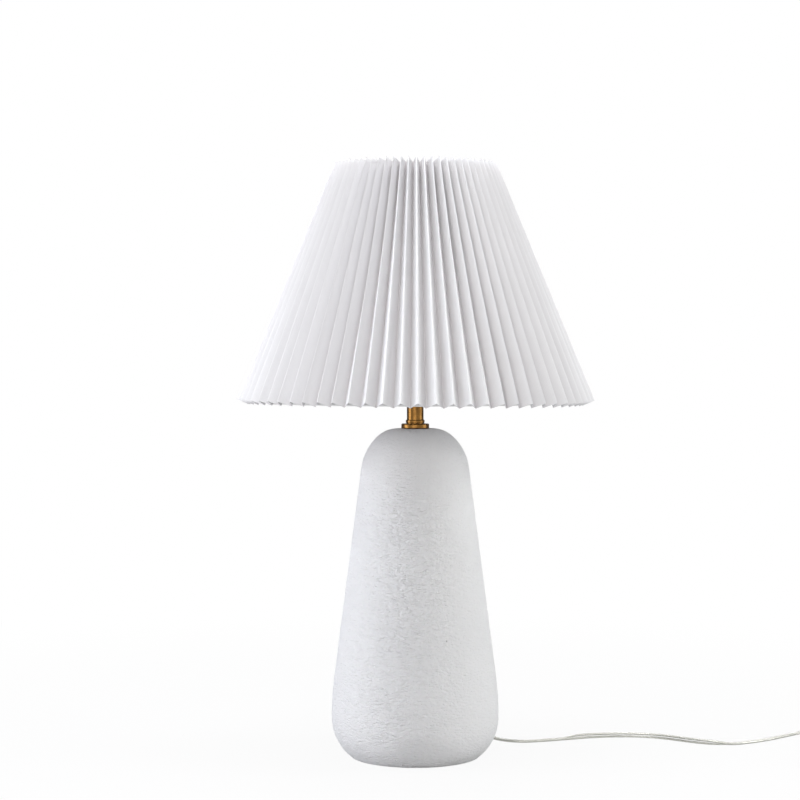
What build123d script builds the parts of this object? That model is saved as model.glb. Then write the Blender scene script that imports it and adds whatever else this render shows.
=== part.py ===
from build123d import *
from math import asin, atan2, ceil, cos, degrees, pi, radians, sin, sqrt, tan
import os

os.makedirs("parts", exist_ok=True)

# Ceramic table lamp with a pleated shade. Millimetres, +Z up, origin on the table under the middle of the
# foot. The flex leaves the back of the body, at +Y, and runs off to +X.

# Ceramic body, a slip-cast shell that is open underneath
body_height = 321.5
body_wall = 6.0
belly_radius = 81.8
belly_height = 39.0
foot_arc_radius = 47.5
belly_arc_radius = 320.0
shoulder_arc_radius = 50.0
crown_arc_radius = 28.0
side_lean = 7.43
crown_start_angle = 49.0
foot_edge_rounding = 1.5
bolt_hole_radius = 5.6

# Felt pad, glued into a recess in the foot
pad_radius = 56.0
pad_thickness = 2.0
pad_recess = 1.2
pad_clearance = 0.5

# Flex, a flat two-core cord as wide as this diameter, and its grommet
cord_radius = 2.7
cord_hole_height = 20.0
grommet_barrel_radius = 4.8
grommet_flange_radius = 7.0
grommet_flange_thickness = 2.2
grommet_inner_length = 8.0
grommet_seat_depth = 0.8
grommet_rounding = 0.6
cord_clearance = 0.3
cord_straight = 22.0
tail_straight = 16.0

# Threaded tube that bolts the neck to the body
tube_radius = 5.0
tube_bore_radius = 4.0
thread_clearance = 0.05
thread_chamfer = 0.5
washer_clearance = 0.3
tube_tail = 6.0
rubber_washer_radius = 14.0
rubber_washer_thickness = 2.0
clamp_washer_radius = 15.0
clamp_washer_thickness = 1.5
nut_across_flats = 17.0
nut_thickness = 4.0

# Brass neck
flange_radius = 13.6
flange_thickness = 4.8
flange_rounding = 1.0
collar_radius = 9.2
collar_height = 3.8
collar_groove = 0.6
neck_radius = 8.15
neck_wall = 1.0
neck_length = 42.0

# Lampholder for a 27 mm screw cap
holder_radius = 20.0
holder_wall = 2.5
cap_height = 24.0
cap_foot_radius = 11.0
cap_floor = 8.0
cap_ledge_height = 14.0
cap_ledge_width = 2.0
insert_clearance = 0.15
insert_thickness = 14.0
skirt_height = 40.0
shoulder_height = 8.0
shoulder_thickness = 3.0
shoulder_radius = 24.0
shell_inner_radius = 13.45
shell_wall = 0.4
shell_height = 28.0
contact_rise = 3.2
contact_strip = 0.5
contact_width = 6.0
terminal_spacing = 18.0
terminal_screw_radius = 1.5
terminal_head_radius = 2.6
terminal_head_height = 1.8
terminal_screw_length = 8.0

# Shade frame and the ring that holds it down
seat_clearance = 0.3
fitter_inner_radius = 20.6
fitter_outer_radius = 27.0
fitter_thickness = 1.5
shade_ring_radius = 26.0
shade_ring_height = 8.0
shade_ring_ribs = 24
shade_ring_rib_depth = 0.8
wire_radius = 1.5
arm_count = 3
wire_gap = 0.2
bottom_ring_inset = 4.0
top_ring_inset = 6.0

# Pleated shade, one strip folded into parallel panels and stood up as a cone
pleat_count = 68
pleat_turn = 1.28
panel_width = 14.3
shade_thickness = 0.7
shade_bottom_radius = 175.0
shade_top_radius = 79.5
shade_bottom_height = 349.4
shade_top_height = 580.4

# Bulb
bulb_clearance = 0.3
bulb_tip_radius = 4.8
bulb_tip_height = 0.8
bulb_insulator_height = 4.2
bulb_insulator_radius = 6.0
bulb_cap_radius = 13.1
bulb_cap_wall = 0.3
bulb_cap_height = 22.0
bulb_cap_taper = 3.0
bulb_cap_taper_radius = 11.0
bulb_radius = 30.0
bulb_wall = 0.9
bulb_length = 107.0
bulb_neck_radius = 12.3
bulb_neck_in_cap = 6.0
bulb_shoulder_radius = 38.0
stem_radius = 3.0
stem_flare_radius = 10.8
stem_height = 30.0
filament_count = 4
filament_radius = 1.1
filament_length = 32.0
filament_ring_radius = 8.0
support_radius = 0.5
support_gap = 0.1

# Switch in the flex
switch_length = 64.0
switch_width = 25.0
switch_height = 17.0
switch_split = 7.5
switch_corner = 6.0
switch_wall = 1.8
switch_pocket_length = 49.0
switch_rounding = 1.8
switch_screw_x = 28.0
switch_screw_y = 8.5
switch_screw_radius = 1.2
switch_screw_head_radius = 2.2
switch_screw_head_height = 1.4
switch_screw_length = 13.0
port_clearance = 0.15
terminal_size = 6.0
terminal_height = 9.4
rocker_width = 10.0
rocker_sweep_radius = 8.5
rocker_clearance = 0.3
rocker_pivot_height = 12.8
rocker_crown = 4.6
rocker_underside = 3.0
rocker_dish = 7.0
rocker_tilt = 7.0
pivot_radius = 1.5
pivot_length = 2.0
pivot_clearance = 0.05
cheek_length = 10.0
cheek_thickness = 2.4

# Two-pin plug
plug_relief_length = 22.0
plug_relief_radius = 5.2
plug_relief_end_radius = 3.6
plug_relief_ribs = 5
plug_body_length = 33.0
plug_face_width = 35.3
plug_face_thickness = 13.7
pin_spacing = 18.6
pin_radius = 2.0
pin_tip_rounding = 1.2
pin_core_radius = 1.45
pin_length = 19.0
pin_sleeve_length = 10.0
pin_sleeve_radius = 1.9
pin_root = 4.0

# Coil of put-away flex, and its tie
coil_turns = 6
coil_outer_radius = 39.3
coil_pitch = 5.9
coil_lift = 0.9
tie_width = 4.0
tie_thickness = 0.7
tie_clearance = 0.1
tie_slack = 0.4

# Where things lie on the table
switch_place = (458.0, 51.0)
coil_place = (420.0, -45.0)
plug_place = (467.5, -100.0)
plug_heading = -78.0


# Heights that follow from the sizes above
foot_height = pad_thickness - pad_recess
ceiling_height = body_height - body_wall
rubber_washer_bottom = ceiling_height - rubber_washer_thickness
clamp_washer_bottom = rubber_washer_bottom - clamp_washer_thickness
nut_bottom = clamp_washer_bottom - nut_thickness
tube_bottom = nut_bottom - tube_tail
flange_top = body_height + flange_thickness
collar_top = flange_top + collar_height
neck_top = collar_top + neck_length
cap_top = neck_top + cap_height
insert_bottom = neck_top + cap_ledge_height
insert_top = insert_bottom + insert_thickness
shoulder_top = cap_top + shoulder_height + shoulder_thickness
fitter_bottom = shoulder_top + seat_clearance
shade_ring_bottom = fitter_bottom + fitter_thickness + seat_clearance
contact_top = insert_top + contact_rise + contact_strip
bulb_bottom = contact_top + bulb_clearance
insulator_bottom = bulb_bottom + bulb_tip_height
bulb_cap_bottom = insulator_bottom + bulb_insulator_height
bulb_cap_top = bulb_cap_bottom + bulb_cap_height
glass_bottom = bulb_cap_top - bulb_neck_in_cap
globe_height = bulb_bottom + bulb_length - bulb_radius
stem_top = glass_bottom + stem_height


# Ceramic body: arcs that run into each other, each drawn again nearer its centre for the inside wall
def polar(centre, radius, angle):
    return (centre[0] + radius * cos(radians(angle)), centre[1] + radius * sin(radians(angle)))


foot_centre = (belly_radius - foot_arc_radius, belly_height)
belly_centre = (belly_radius - belly_arc_radius, belly_height)
shoulder_centre_height = (
    body_height
    - crown_arc_radius
    - (shoulder_arc_radius - crown_arc_radius) * sin(radians(crown_start_angle))
)
# The straight side touches the belly's arc and the shoulder's, which sets how far out the shoulder is.
side_reach = (
    belly_centre[0] * cos(radians(side_lean))
    + belly_centre[1] * sin(radians(side_lean))
    + belly_arc_radius
)
shoulder_centre = (
    (side_reach - shoulder_arc_radius - shoulder_centre_height * sin(radians(side_lean)))
    / cos(radians(side_lean)),
    shoulder_centre_height,
)
crown_centre = polar(shoulder_centre, shoulder_arc_radius - crown_arc_radius, crown_start_angle)


def foot_reach(inset):
    """How far out the foot's arc is at the height of the foot."""
    return foot_centre[0] + sqrt((foot_arc_radius - inset) ** 2 - (belly_height - foot_height) ** 2)


def body_outline(inset):
    """Half of the body's section, drawn this far inside its outer face."""
    foot_start = (foot_reach(inset), foot_height)
    foot_angle = degrees(atan2(foot_start[1] - foot_centre[1], foot_start[0] - foot_centre[0]))
    with BuildLine() as outline:
        foot = CenterArc(foot_centre, foot_arc_radius - inset, foot_angle, -foot_angle)
        belly = CenterArc(belly_centre, belly_arc_radius - inset, 0, side_lean)
        shoulder = CenterArc(
            shoulder_centre, shoulder_arc_radius - inset, side_lean, crown_start_angle - side_lean
        )
        crown = CenterArc(
            crown_centre, crown_arc_radius - inset, crown_start_angle, 90 - crown_start_angle
        )
        Line(belly @ 1, shoulder @ 0)
        Polyline(crown @ 1, (0, body_height - inset), (0, foot_height), foot @ 0)
    return outline.line


# The cord's hole stands square to the outer face, low at the back
hole_tilt = asin((cord_hole_height - belly_height) / foot_arc_radius)
hole_plane = Plane(
    origin=(0, foot_centre[0] + foot_arc_radius * cos(hole_tilt), cord_hole_height),
    x_dir=(1, 0, 0),
    z_dir=(0, cos(hole_tilt), sin(hole_tilt)),
)
grommet_seat = hole_plane.offset(-grommet_seat_depth)
cord_exit = hole_plane.offset(grommet_flange_thickness - grommet_seat_depth).origin
exit_way = hole_plane.z_dir

with BuildPart() as ceramic_body:
    with BuildSketch(Plane.XZ):
        add(body_outline(0))
        make_face()
    revolve(axis=Axis.Z)
    foot_rim = ceramic_body.edges().filter_by(GeomType.CIRCLE).sort_by(Axis.Z)[0]
    fillet(foot_rim, foot_edge_rounding)
    with BuildSketch(Plane.XZ):
        add(body_outline(body_wall))
        make_face()
    revolve(axis=Axis.Z, mode=Mode.SUBTRACT)
    with BuildSketch(Plane.XY.offset(foot_height)):
        Circle(pad_radius + pad_clearance)
    extrude(amount=pad_recess, mode=Mode.SUBTRACT)
    with BuildSketch(Plane.XY.offset(body_height)):
        Circle(bolt_hole_radius)
    extrude(amount=-2 * body_wall, mode=Mode.SUBTRACT)
    with BuildSketch(grommet_seat):
        Circle(grommet_flange_radius + cord_clearance)
    extrude(amount=2 * grommet_flange_thickness, mode=Mode.SUBTRACT)
    with BuildSketch(grommet_seat):
        Circle(grommet_barrel_radius + thread_clearance)
    extrude(amount=-2 * body_wall, mode=Mode.SUBTRACT)
ceramic_body.part.label = "ceramic_body"
export_step(ceramic_body.part, "parts/ceramic_body.step")

with BuildPart() as felt_pad:
    with BuildSketch():
        Circle(pad_radius)
    extrude(amount=pad_thickness)
felt_pad.part.label = "felt_pad"
export_step(felt_pad.part, "parts/felt_pad.step")

with BuildPart() as cord_grommet:
    with BuildSketch(grommet_seat):
        Circle(grommet_flange_radius)
    extrude(amount=grommet_flange_thickness)
    hole_axis = Axis(grommet_seat.origin, grommet_seat.z_dir)
    fillet(cord_grommet.edges().sort_by(hole_axis)[-1], grommet_rounding)
    with BuildSketch(grommet_seat):
        Circle(grommet_barrel_radius)
    extrude(amount=-grommet_inner_length)
    with BuildSketch(grommet_seat.offset(grommet_flange_thickness)):
        Circle(cord_radius + cord_clearance)
    extrude(amount=-2 * (grommet_flange_thickness + grommet_inner_length), mode=Mode.SUBTRACT)
cord_grommet.part.label = "cord_grommet"
export_step(cord_grommet.part, "parts/cord_grommet.step")


# Threaded tube, with the washers and nut that pull it down from inside the body
with BuildPart() as threaded_tube:
    with BuildSketch(Plane.XY.offset(tube_bottom)):
        Circle(tube_radius)
        Circle(tube_bore_radius, mode=Mode.SUBTRACT)
    extrude(amount=neck_top + cap_floor + tube_tail / 2 - tube_bottom)
    tube_ends = threaded_tube.faces().filter_by(Axis.Z)
    chamfer([end.outer_wire().edges() for end in tube_ends], thread_chamfer)
threaded_tube.part.label = "threaded_tube"
export_step(threaded_tube.part, "parts/threaded_tube.step")

with BuildPart() as rubber_washer:
    with BuildSketch(Plane.XY.offset(rubber_washer_bottom)):
        Circle(rubber_washer_radius)
        Circle(tube_radius + washer_clearance, mode=Mode.SUBTRACT)
    extrude(amount=rubber_washer_thickness)
rubber_washer.part.label = "rubber_washer"
export_step(rubber_washer.part, "parts/rubber_washer.step")

with BuildPart() as clamp_washer:
    with BuildSketch(Plane.XY.offset(clamp_washer_bottom)):
        Circle(clamp_washer_radius)
        Circle(tube_radius + washer_clearance, mode=Mode.SUBTRACT)
    extrude(amount=clamp_washer_thickness)
clamp_washer.part.label = "clamp_washer"
export_step(clamp_washer.part, "parts/clamp_washer.step")

with BuildPart() as tube_nut:
    with BuildSketch(Plane.XY.offset(nut_bottom)):
        RegularPolygon(nut_across_flats / 2, 6, major_radius=False)
        Circle(tube_radius + thread_clearance, mode=Mode.SUBTRACT)
    extrude(amount=nut_thickness)
tube_nut.part.label = "tube_nut"
export_step(tube_nut.part, "parts/tube_nut.step")


# Brass neck, stacked on the tube above the crown
with BuildPart() as brass_flange:
    with BuildSketch(Plane.XY.offset(body_height)):
        Circle(flange_radius)
    extrude(amount=flange_thickness)
    fillet(brass_flange.edges(), flange_rounding)
    with BuildSketch(Plane.XY.offset(body_height)):
        Circle(tube_radius + washer_clearance)
    extrude(amount=flange_thickness, mode=Mode.SUBTRACT)
brass_flange.part.label = "brass_flange"
export_step(brass_flange.part, "parts/brass_flange.step")

with BuildPart() as brass_collar:
    with BuildSketch(Plane.XZ):
        with BuildLine():
            Polyline(
                (tube_radius + washer_clearance, flange_top),
                (collar_radius - collar_groove, flange_top),
                (collar_radius - collar_groove, flange_top + collar_groove),
                (collar_radius, flange_top + 2 * collar_groove),
                (collar_radius, collar_top - collar_groove),
                (collar_radius - collar_groove, collar_top),
                (tube_radius + washer_clearance, collar_top),
                close=True,
            )
        make_face()
    revolve(axis=Axis.Z)
brass_collar.part.label = "brass_collar"
export_step(brass_collar.part, "parts/brass_collar.step")

with BuildPart() as neck_tube:
    with BuildSketch(Plane.XY.offset(collar_top)):
        Circle(neck_radius)
        Circle(neck_radius - neck_wall, mode=Mode.SUBTRACT)
    extrude(amount=neck_length)
neck_tube.part.label = "neck_tube"
export_step(neck_tube.part, "parts/neck_tube.step")


# Lampholder
holder_bore = holder_radius - holder_wall
with BuildPart() as holder_cap:
    with BuildSketch(Plane.XZ):
        with BuildLine():
            Polyline(
                (tube_radius + thread_clearance, neck_top),
                (cap_foot_radius, neck_top),
            )
            dome = TangentArc(
                (cap_foot_radius, neck_top), (holder_radius, insert_bottom - 1), tangent=(1, 0.35)
            )
            Polyline(
                dome @ 1,
                (holder_radius, cap_top),
                (holder_bore, cap_top),
                (holder_bore, insert_bottom),
                (holder_bore - cap_ledge_width, insert_bottom),
                (holder_bore - cap_ledge_width, neck_top + cap_floor),
                (tube_radius + thread_clearance, neck_top + cap_floor),
                (tube_radius + thread_clearance, neck_top),
            )
        make_face()
    revolve(axis=Axis.Z)
holder_cap.part.label = "holder_cap"
export_step(holder_cap.part, "parts/holder_cap.step")

terminal_places = [(-terminal_spacing / 2, 0), (terminal_spacing / 2, 0)]
with BuildPart() as holder_insert:
    with BuildSketch(Plane.XY.offset(insert_bottom)):
        Circle(holder_bore - insert_clearance)
    extrude(amount=insert_thickness)
    with BuildSketch(Plane.XY.offset(insert_bottom)):
        with Locations(terminal_places):
            Circle(terminal_screw_radius + thread_clearance)
    extrude(amount=terminal_screw_length, mode=Mode.SUBTRACT)
holder_insert.part.label = "holder_insert"
export_step(holder_insert.part, "parts/holder_insert.step")

with BuildPart() as terminal_screws:
    with BuildSketch(Plane.XY.offset(insert_bottom)):
        with Locations(terminal_places):
            Circle(terminal_head_radius)
    extrude(amount=-terminal_head_height)
    with BuildSketch(Plane.XY.offset(insert_bottom)):
        with Locations(terminal_places):
            Circle(terminal_screw_radius)
    extrude(amount=terminal_screw_length)
    with BuildSketch(Plane.XY.offset(insert_bottom - terminal_head_height)):
        with Locations(terminal_places):
            Rectangle(2 * terminal_head_radius, terminal_head_radius / 3)
    extrude(amount=terminal_head_height / 3, mode=Mode.SUBTRACT)
terminal_screws.part.label = "terminal_screws"
export_step(terminal_screws.part, "parts/terminal_screws.step")

with BuildPart() as screw_shell:
    with BuildSketch(Plane.XY.offset(insert_top)):
        Circle(shell_inner_radius + shell_wall)
        Circle(bulb_insulator_radius + bulb_tip_radius, mode=Mode.SUBTRACT)
    extrude(amount=shell_wall)
    with BuildSketch(Plane.XY.offset(insert_top)):
        Circle(shell_inner_radius + shell_wall)
        Circle(shell_inner_radius, mode=Mode.SUBTRACT)
    extrude(amount=shell_height)
screw_shell.part.label = "screw_shell"
export_step(screw_shell.part, "parts/screw_shell.step")

with BuildPart() as centre_contact:
    with BuildSketch(Plane.XZ):
        with BuildLine():
            half_top = contact_width / 2.5
            Polyline(
                (-2.5 * half_top, insert_top),
                (-2 * half_top, insert_top),
                (-half_top, insert_top + contact_rise),
                (half_top, insert_top + contact_rise),
                (2 * half_top, insert_top),
                (2.5 * half_top, insert_top),
                (2.5 * half_top, insert_top + contact_strip),
                (2 * half_top + contact_strip / 2, insert_top + contact_strip),
                (half_top + contact_strip / 4, contact_top),
                (-half_top - contact_strip / 4, contact_top),
                (-2 * half_top - contact_strip / 2, insert_top + contact_strip),
                (-2.5 * half_top, insert_top + contact_strip),
                close=True,
            )
        make_face()
    extrude(amount=contact_width / 2, both=True)
centre_contact.part.label = "centre_contact"
export_step(centre_contact.part, "parts/centre_contact.step")

with BuildPart() as holder_skirt:
    with BuildSketch(Plane.XY.offset(cap_top)):
        Circle(holder_radius - thread_clearance)
        Circle(holder_bore, mode=Mode.SUBTRACT)
    extrude(amount=skirt_height)
    with BuildSketch(Plane.XY.offset(cap_top + shoulder_height)):
        Circle(shoulder_radius)
        Circle(holder_bore, mode=Mode.SUBTRACT)
    extrude(amount=shoulder_thickness)
holder_skirt.part.label = "holder_skirt"
export_step(holder_skirt.part, "parts/holder_skirt.step")

with BuildPart() as shade_ring:
    with BuildSketch(Plane.XY.offset(shade_ring_bottom)):
        Circle(shade_ring_radius)
        Circle(holder_radius, mode=Mode.SUBTRACT)
    extrude(amount=shade_ring_height)
    with BuildSketch(Plane.XY.offset(shade_ring_bottom)):
        with PolarLocations(shade_ring_radius, shade_ring_ribs):
            Circle(shade_ring_rib_depth)
    extrude(amount=shade_ring_height, mode=Mode.SUBTRACT)
shade_ring.part.label = "shade_ring"
export_step(shade_ring.part, "parts/shade_ring.step")


# Pleated shade: every other fold stands out, and both sets of folds are straight lines
shade_slope = atan2(shade_bottom_radius - shade_top_radius, shade_top_height - shade_bottom_height)
half_pleat = pi / pleat_count


def inner_fold(outer_radius, outer_height):
    """The end of an inner fold, square to the slope from the outer fold's end."""
    depth = sqrt(panel_width**2 - (outer_radius * sin(half_pleat)) ** 2)
    return (outer_radius - depth * cos(shade_slope), outer_height - depth * sin(shade_slope))


def between(start, end, height):
    """The radius at this height on the straight line through two (radius, height) points."""
    return start[0] + (end[0] - start[0]) * (height - start[1]) / (end[1] - start[1])


outer_bottom = (shade_bottom_radius, shade_bottom_height)
outer_top = (shade_top_radius, shade_top_height)
inner_bottom = inner_fold(*outer_bottom)
inner_top = inner_fold(*outer_top)


def fold_wall(outer, inner):
    """How far inwards a fold moves when its panels are as thick as the shade's card."""
    half_fold = atan2(outer[0] * sin(half_pleat), outer[0] - inner[0])
    return (shade_thickness / sin(half_fold), outer[1])


wall_bottom = fold_wall(outer_bottom, inner_bottom)
wall_top = fold_wall(outer_top, inner_top)


def pleat_star(height, inside):
    """The zigzag that the pleats make at this height, on the card's outer or inner face."""
    shift = between(wall_bottom, wall_top, height) if inside else 0
    radii = (
        between(outer_bottom, outer_top, height) - shift,
        between(inner_bottom, inner_top, height) - shift,
    )
    bearings = [radians(pleat_turn) + fold * half_pleat for fold in range(2 * pleat_count)]
    return [
        (radii[fold % 2] * cos(bearing), radii[fold % 2] * sin(bearing))
        for fold, bearing in enumerate(bearings)
    ]


shade_margin = panel_width
slope_out = (cos(shade_slope), sin(shade_slope))
edge_reach = 2 * panel_width


def rim_point(rim, reach):
    return (rim[0] + reach * slope_out[0], rim[1] + reach * slope_out[1])


with BuildPart() as pleated_shade:
    for inside in (False, True):
        for height in (shade_bottom_height - shade_margin, shade_top_height + shade_margin):
            with BuildSketch(Plane.XY.offset(height)):
                with BuildLine():
                    Polyline(*pleat_star(height, inside), close=True)
                make_face()
        loft(ruled=True, mode=Mode.SUBTRACT if inside else Mode.ADD)
    # Both rims are cut square to the slope.
    with BuildSketch(Plane.XZ):
        with BuildLine():
            Polyline(
                rim_point(outer_bottom, edge_reach),
                rim_point(outer_bottom, -edge_reach),
                rim_point(outer_top, -edge_reach),
                rim_point(outer_top, edge_reach),
                close=True,
            )
        make_face()
    revolve(axis=Axis.Z, mode=Mode.INTERSECT)
pleated_shade.part.label = "pleated_shade"
export_step(pleated_shade.part, "parts/pleated_shade.step")


# Wire frame inside the shade: a ring behind the folds at each rim, and arms down from the fitter
def wire_ring_radius(height):
    inner_face = between(inner_bottom, inner_top, height) - between(wall_bottom, wall_top, height)
    return inner_face - wire_gap - wire_radius / cos(shade_slope)


bottom_ring_height = inner_bottom[1] + bottom_ring_inset
top_ring_height = inner_top[1] - top_ring_inset
bottom_ring_radius = wire_ring_radius(bottom_ring_height)
top_ring_radius = wire_ring_radius(top_ring_height)

with BuildPart() as shade_bottom_ring:
    with BuildSketch(Plane.XZ):
        with Locations((bottom_ring_radius, bottom_ring_height)):
            Circle(wire_radius)
    revolve(axis=Axis.Z)
shade_bottom_ring.part.label = "shade_bottom_ring"
export_step(shade_bottom_ring.part, "parts/shade_bottom_ring.step")

with BuildPart() as shade_top_ring:
    with BuildSketch(Plane.XZ):
        with Locations((top_ring_radius, top_ring_height)):
            Circle(wire_radius)
    revolve(axis=Axis.Z)
shade_top_ring.part.label = "shade_top_ring"
export_step(shade_top_ring.part, "parts/shade_top_ring.step")

with BuildPart() as shade_fitter:
    with BuildSketch(Plane.XY.offset(fitter_bottom)):
        Circle(fitter_outer_radius)
        Circle(fitter_inner_radius, mode=Mode.SUBTRACT)
    extrude(amount=fitter_thickness)
shade_fitter.part.label = "shade_fitter"
export_step(shade_fitter.part, "parts/shade_fitter.step")

fitter_middle = fitter_bottom + fitter_thickness / 2
with BuildPart() as shade_arms:
    for arm in range(arm_count):
        bearing = radians(90 + arm * 360 / arm_count)
        inner_end = Vector(
            fitter_outer_radius * cos(bearing), fitter_outer_radius * sin(bearing), fitter_middle
        )
        outer_end = Vector(
            bottom_ring_radius * cos(bearing), bottom_ring_radius * sin(bearing), bottom_ring_height
        )
        with BuildSketch(Plane(inner_end, z_dir=outer_end - inner_end)):
            Circle(wire_radius)
        extrude(amount=(outer_end - inner_end).length)
    # Each arm stops at the fitter's edge and at the ring's wire.
    with BuildSketch(Plane.XY.offset(fitter_bottom - fitter_outer_radius)):
        Circle(fitter_outer_radius + wire_gap)
    extrude(amount=2 * fitter_outer_radius, mode=Mode.SUBTRACT)
    with BuildSketch(Plane.XZ):
        with Locations((bottom_ring_radius, bottom_ring_height)):
            Circle(wire_radius + wire_gap)
    revolve(axis=Axis.Z, mode=Mode.SUBTRACT)
shade_arms.part.label = "shade_arms"
export_step(shade_arms.part, "parts/shade_arms.step")


# Bulb
def globe_outline(inset):
    """Half of the bulb's section from its neck to its top, this far inside its outer face."""
    neck = bulb_neck_radius - inset
    globe = bulb_radius - inset
    flare = bulb_shoulder_radius + inset
    centre_out = neck + flare
    flare_height = globe_height - sqrt((globe + flare) ** 2 - centre_out**2)
    meet = globe / (globe + flare)
    touch = (centre_out * meet, globe_height + (flare_height - globe_height) * meet)
    with BuildLine() as outline:
        Line((neck, glass_bottom), (neck, flare_height))
        TangentArc((neck, flare_height), touch, tangent=(0, 1))
        ThreePointArc(touch, polar((0, globe_height), globe, 20), (0, globe_height + globe))
        Polyline((0, globe_height + globe), (0, glass_bottom), (neck, glass_bottom))
    return outline.line


with BuildPart() as bulb_glass:
    with BuildSketch(Plane.XZ):
        add(globe_outline(0))
        make_face()
    revolve(axis=Axis.Z)
    with BuildSketch(Plane.XZ):
        add(globe_outline(bulb_wall))
        make_face()
    revolve(axis=Axis.Z, mode=Mode.SUBTRACT)
bulb_glass.part.label = "bulb_glass"
export_step(bulb_glass.part, "parts/bulb_glass.step")

with BuildPart() as bulb_cap:
    with BuildSketch(Plane.XZ):
        with BuildLine():
            Polyline(
                (bulb_cap_taper_radius - bulb_cap_wall, bulb_cap_bottom),
                (bulb_cap_taper_radius, bulb_cap_bottom),
                (bulb_cap_radius, bulb_cap_bottom + bulb_cap_taper),
                (bulb_cap_radius, bulb_cap_top),
                (bulb_cap_radius - bulb_cap_wall, bulb_cap_top),
                (bulb_cap_radius - bulb_cap_wall, bulb_cap_bottom + bulb_cap_taper),
                close=True,
            )
        make_face()
    revolve(axis=Axis.Z)
bulb_cap.part.label = "bulb_cap"
export_step(bulb_cap.part, "parts/bulb_cap.step")

with BuildPart() as bulb_insulator:
    with BuildSketch(Plane.XY.offset(insulator_bottom)):
        Circle(bulb_insulator_radius)
    with BuildSketch(Plane.XY.offset(bulb_cap_bottom)):
        Circle(bulb_cap_taper_radius)
    loft()
bulb_insulator.part.label = "bulb_insulator"
export_step(bulb_insulator.part, "parts/bulb_insulator.step")

with BuildPart() as bulb_tip:
    with BuildSketch(Plane.XY.offset(bulb_bottom)):
        Circle(bulb_tip_radius)
    extrude(amount=bulb_tip_height)
bulb_tip.part.label = "bulb_tip"
export_step(bulb_tip.part, "parts/bulb_tip.step")

with BuildPart() as bulb_stem:
    with BuildSketch(Plane.XY.offset(glass_bottom)):
        Circle(stem_flare_radius)
    with BuildSketch(Plane.XY.offset(glass_bottom + stem_height / 3)):
        Circle(stem_radius)
    loft()
    with BuildSketch(Plane.XY.offset(glass_bottom + stem_height / 3)):
        Circle(stem_radius)
    extrude(amount=stem_height * 2 / 3)
bulb_stem.part.label = "bulb_stem"
export_step(bulb_stem.part, "parts/bulb_stem.step")

lower_arm_height = stem_top + 2 * support_radius
filament_bottom = lower_arm_height + support_radius + support_gap
filament_top = filament_bottom + filament_length
upper_arm_height = filament_top + support_gap + support_radius
with BuildPart() as filament_supports:
    with BuildSketch(Plane.XY.offset(stem_top)):
        Circle(1.5 * support_radius)
    extrude(amount=upper_arm_height + 2 * support_radius - stem_top)
    for height in (lower_arm_height, upper_arm_height):
        for arm in range(filament_count):
            bearing = radians(45 + arm * 360 / filament_count)
            arm_way = Vector(cos(bearing), sin(bearing), 0)
            with BuildSketch(Plane((0, 0, height), z_dir=arm_way)):
                Circle(support_radius)
            extrude(amount=filament_ring_radius + filament_radius)
filament_supports.part.label = "filament_supports"
export_step(filament_supports.part, "parts/filament_supports.step")

with BuildPart() as bulb_filaments:
    with BuildSketch(Plane.XY.offset(filament_bottom)):
        with PolarLocations(filament_ring_radius, filament_count, start_angle=45):
            Circle(filament_radius)
    extrude(amount=filament_length)
bulb_filaments.part.label = "bulb_filaments"
export_step(bulb_filaments.part, "parts/bulb_filaments.step")


# Flex: straight runs joined by arcs as large as the runs allow
def arc_radii(route):
    """One radius for each corner of the route: 0.45 of its shorter run, over the tangent of half its turn."""
    corners = zip(route, route[1:], route[2:])
    return [
        0.45 * min((b - a).length, (c - b).length) / tan(radians((b - a).get_angle(c - b)) / 2)
        for a, b, c in corners
    ]


def tube_path(name, points):
    """The route as one wire, with its corner radii printed."""
    route = [Vector(*point) for point in points]
    radii = arc_radii(route)
    print(name, "corner radii", [round(radius, 1) for radius in radii])
    with BuildLine() as path:
        FilletPolyline(*route, radius=radii)
    return path.wires()[0]


def print_volume(name, part, path):
    """The tube's volume against its section times its length, which a sound sweep matches."""
    print(
        name,
        "length", round(path.length, 1),
        "volume ratio", round(part.volume / (pi * cord_radius**2 * path.length), 4),
    )


floor_level = cord_radius
switch_face = switch_pocket_length / 2 - port_clearance
switch_in = (switch_place[0], switch_place[1] + switch_face, switch_split)
switch_out = (switch_place[0], switch_place[1] - switch_face, switch_split)

inner_route = [
    cord_exit,
    cord_exit - exit_way * cord_straight,
    (0, 33, 52),
    (0, 14, 100),
    (0, 3, 170),
    (0, 0, 250),
    (0, 0, insert_bottom),
]
inner_path = tube_path("inner_flex", inner_route)
with BuildPart() as inner_flex:
    with BuildSketch(Plane(inner_path @ 0, z_dir=inner_path % 0)):
        Circle(cord_radius)
    sweep(path=inner_path)
print_volume("inner_flex", inner_flex.part, inner_path)
inner_flex.part.label = "inner_flex"
export_step(inner_flex.part, "parts/inner_flex.step")

table_route = [
    cord_exit,
    cord_exit + exit_way * cord_straight,
    (11, 120, 3.2),
    (38, 131, floor_level),
    (66, 119, floor_level),
    (76, 96, floor_level),
    (84.5, 74, floor_level),
    (107, 61.5, floor_level),
    (137, 70.5, floor_level),
    (172, 84, floor_level),
    (212, 92, floor_level),
    (250, 85, floor_level),
    (282, 59, floor_level),
    (312, 46, floor_level),
    (352, 66, floor_level),
    (385, 95.5, floor_level),
    (414, 121.9, floor_level),
    (440, 120.5, 2.9),
    (458, 101, switch_split),
    switch_in,
]
table_path = tube_path("cord_on_table", table_route)
with BuildPart() as cord_on_table:
    with BuildSketch(Plane(table_path @ 0, z_dir=table_path % 0)):
        Circle(cord_radius)
    sweep(path=table_path)
print_volume("cord_on_table", cord_on_table.part, table_path)
cord_on_table.part.label = "cord_on_table"
export_step(cord_on_table.part, "parts/cord_on_table.step")


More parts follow.
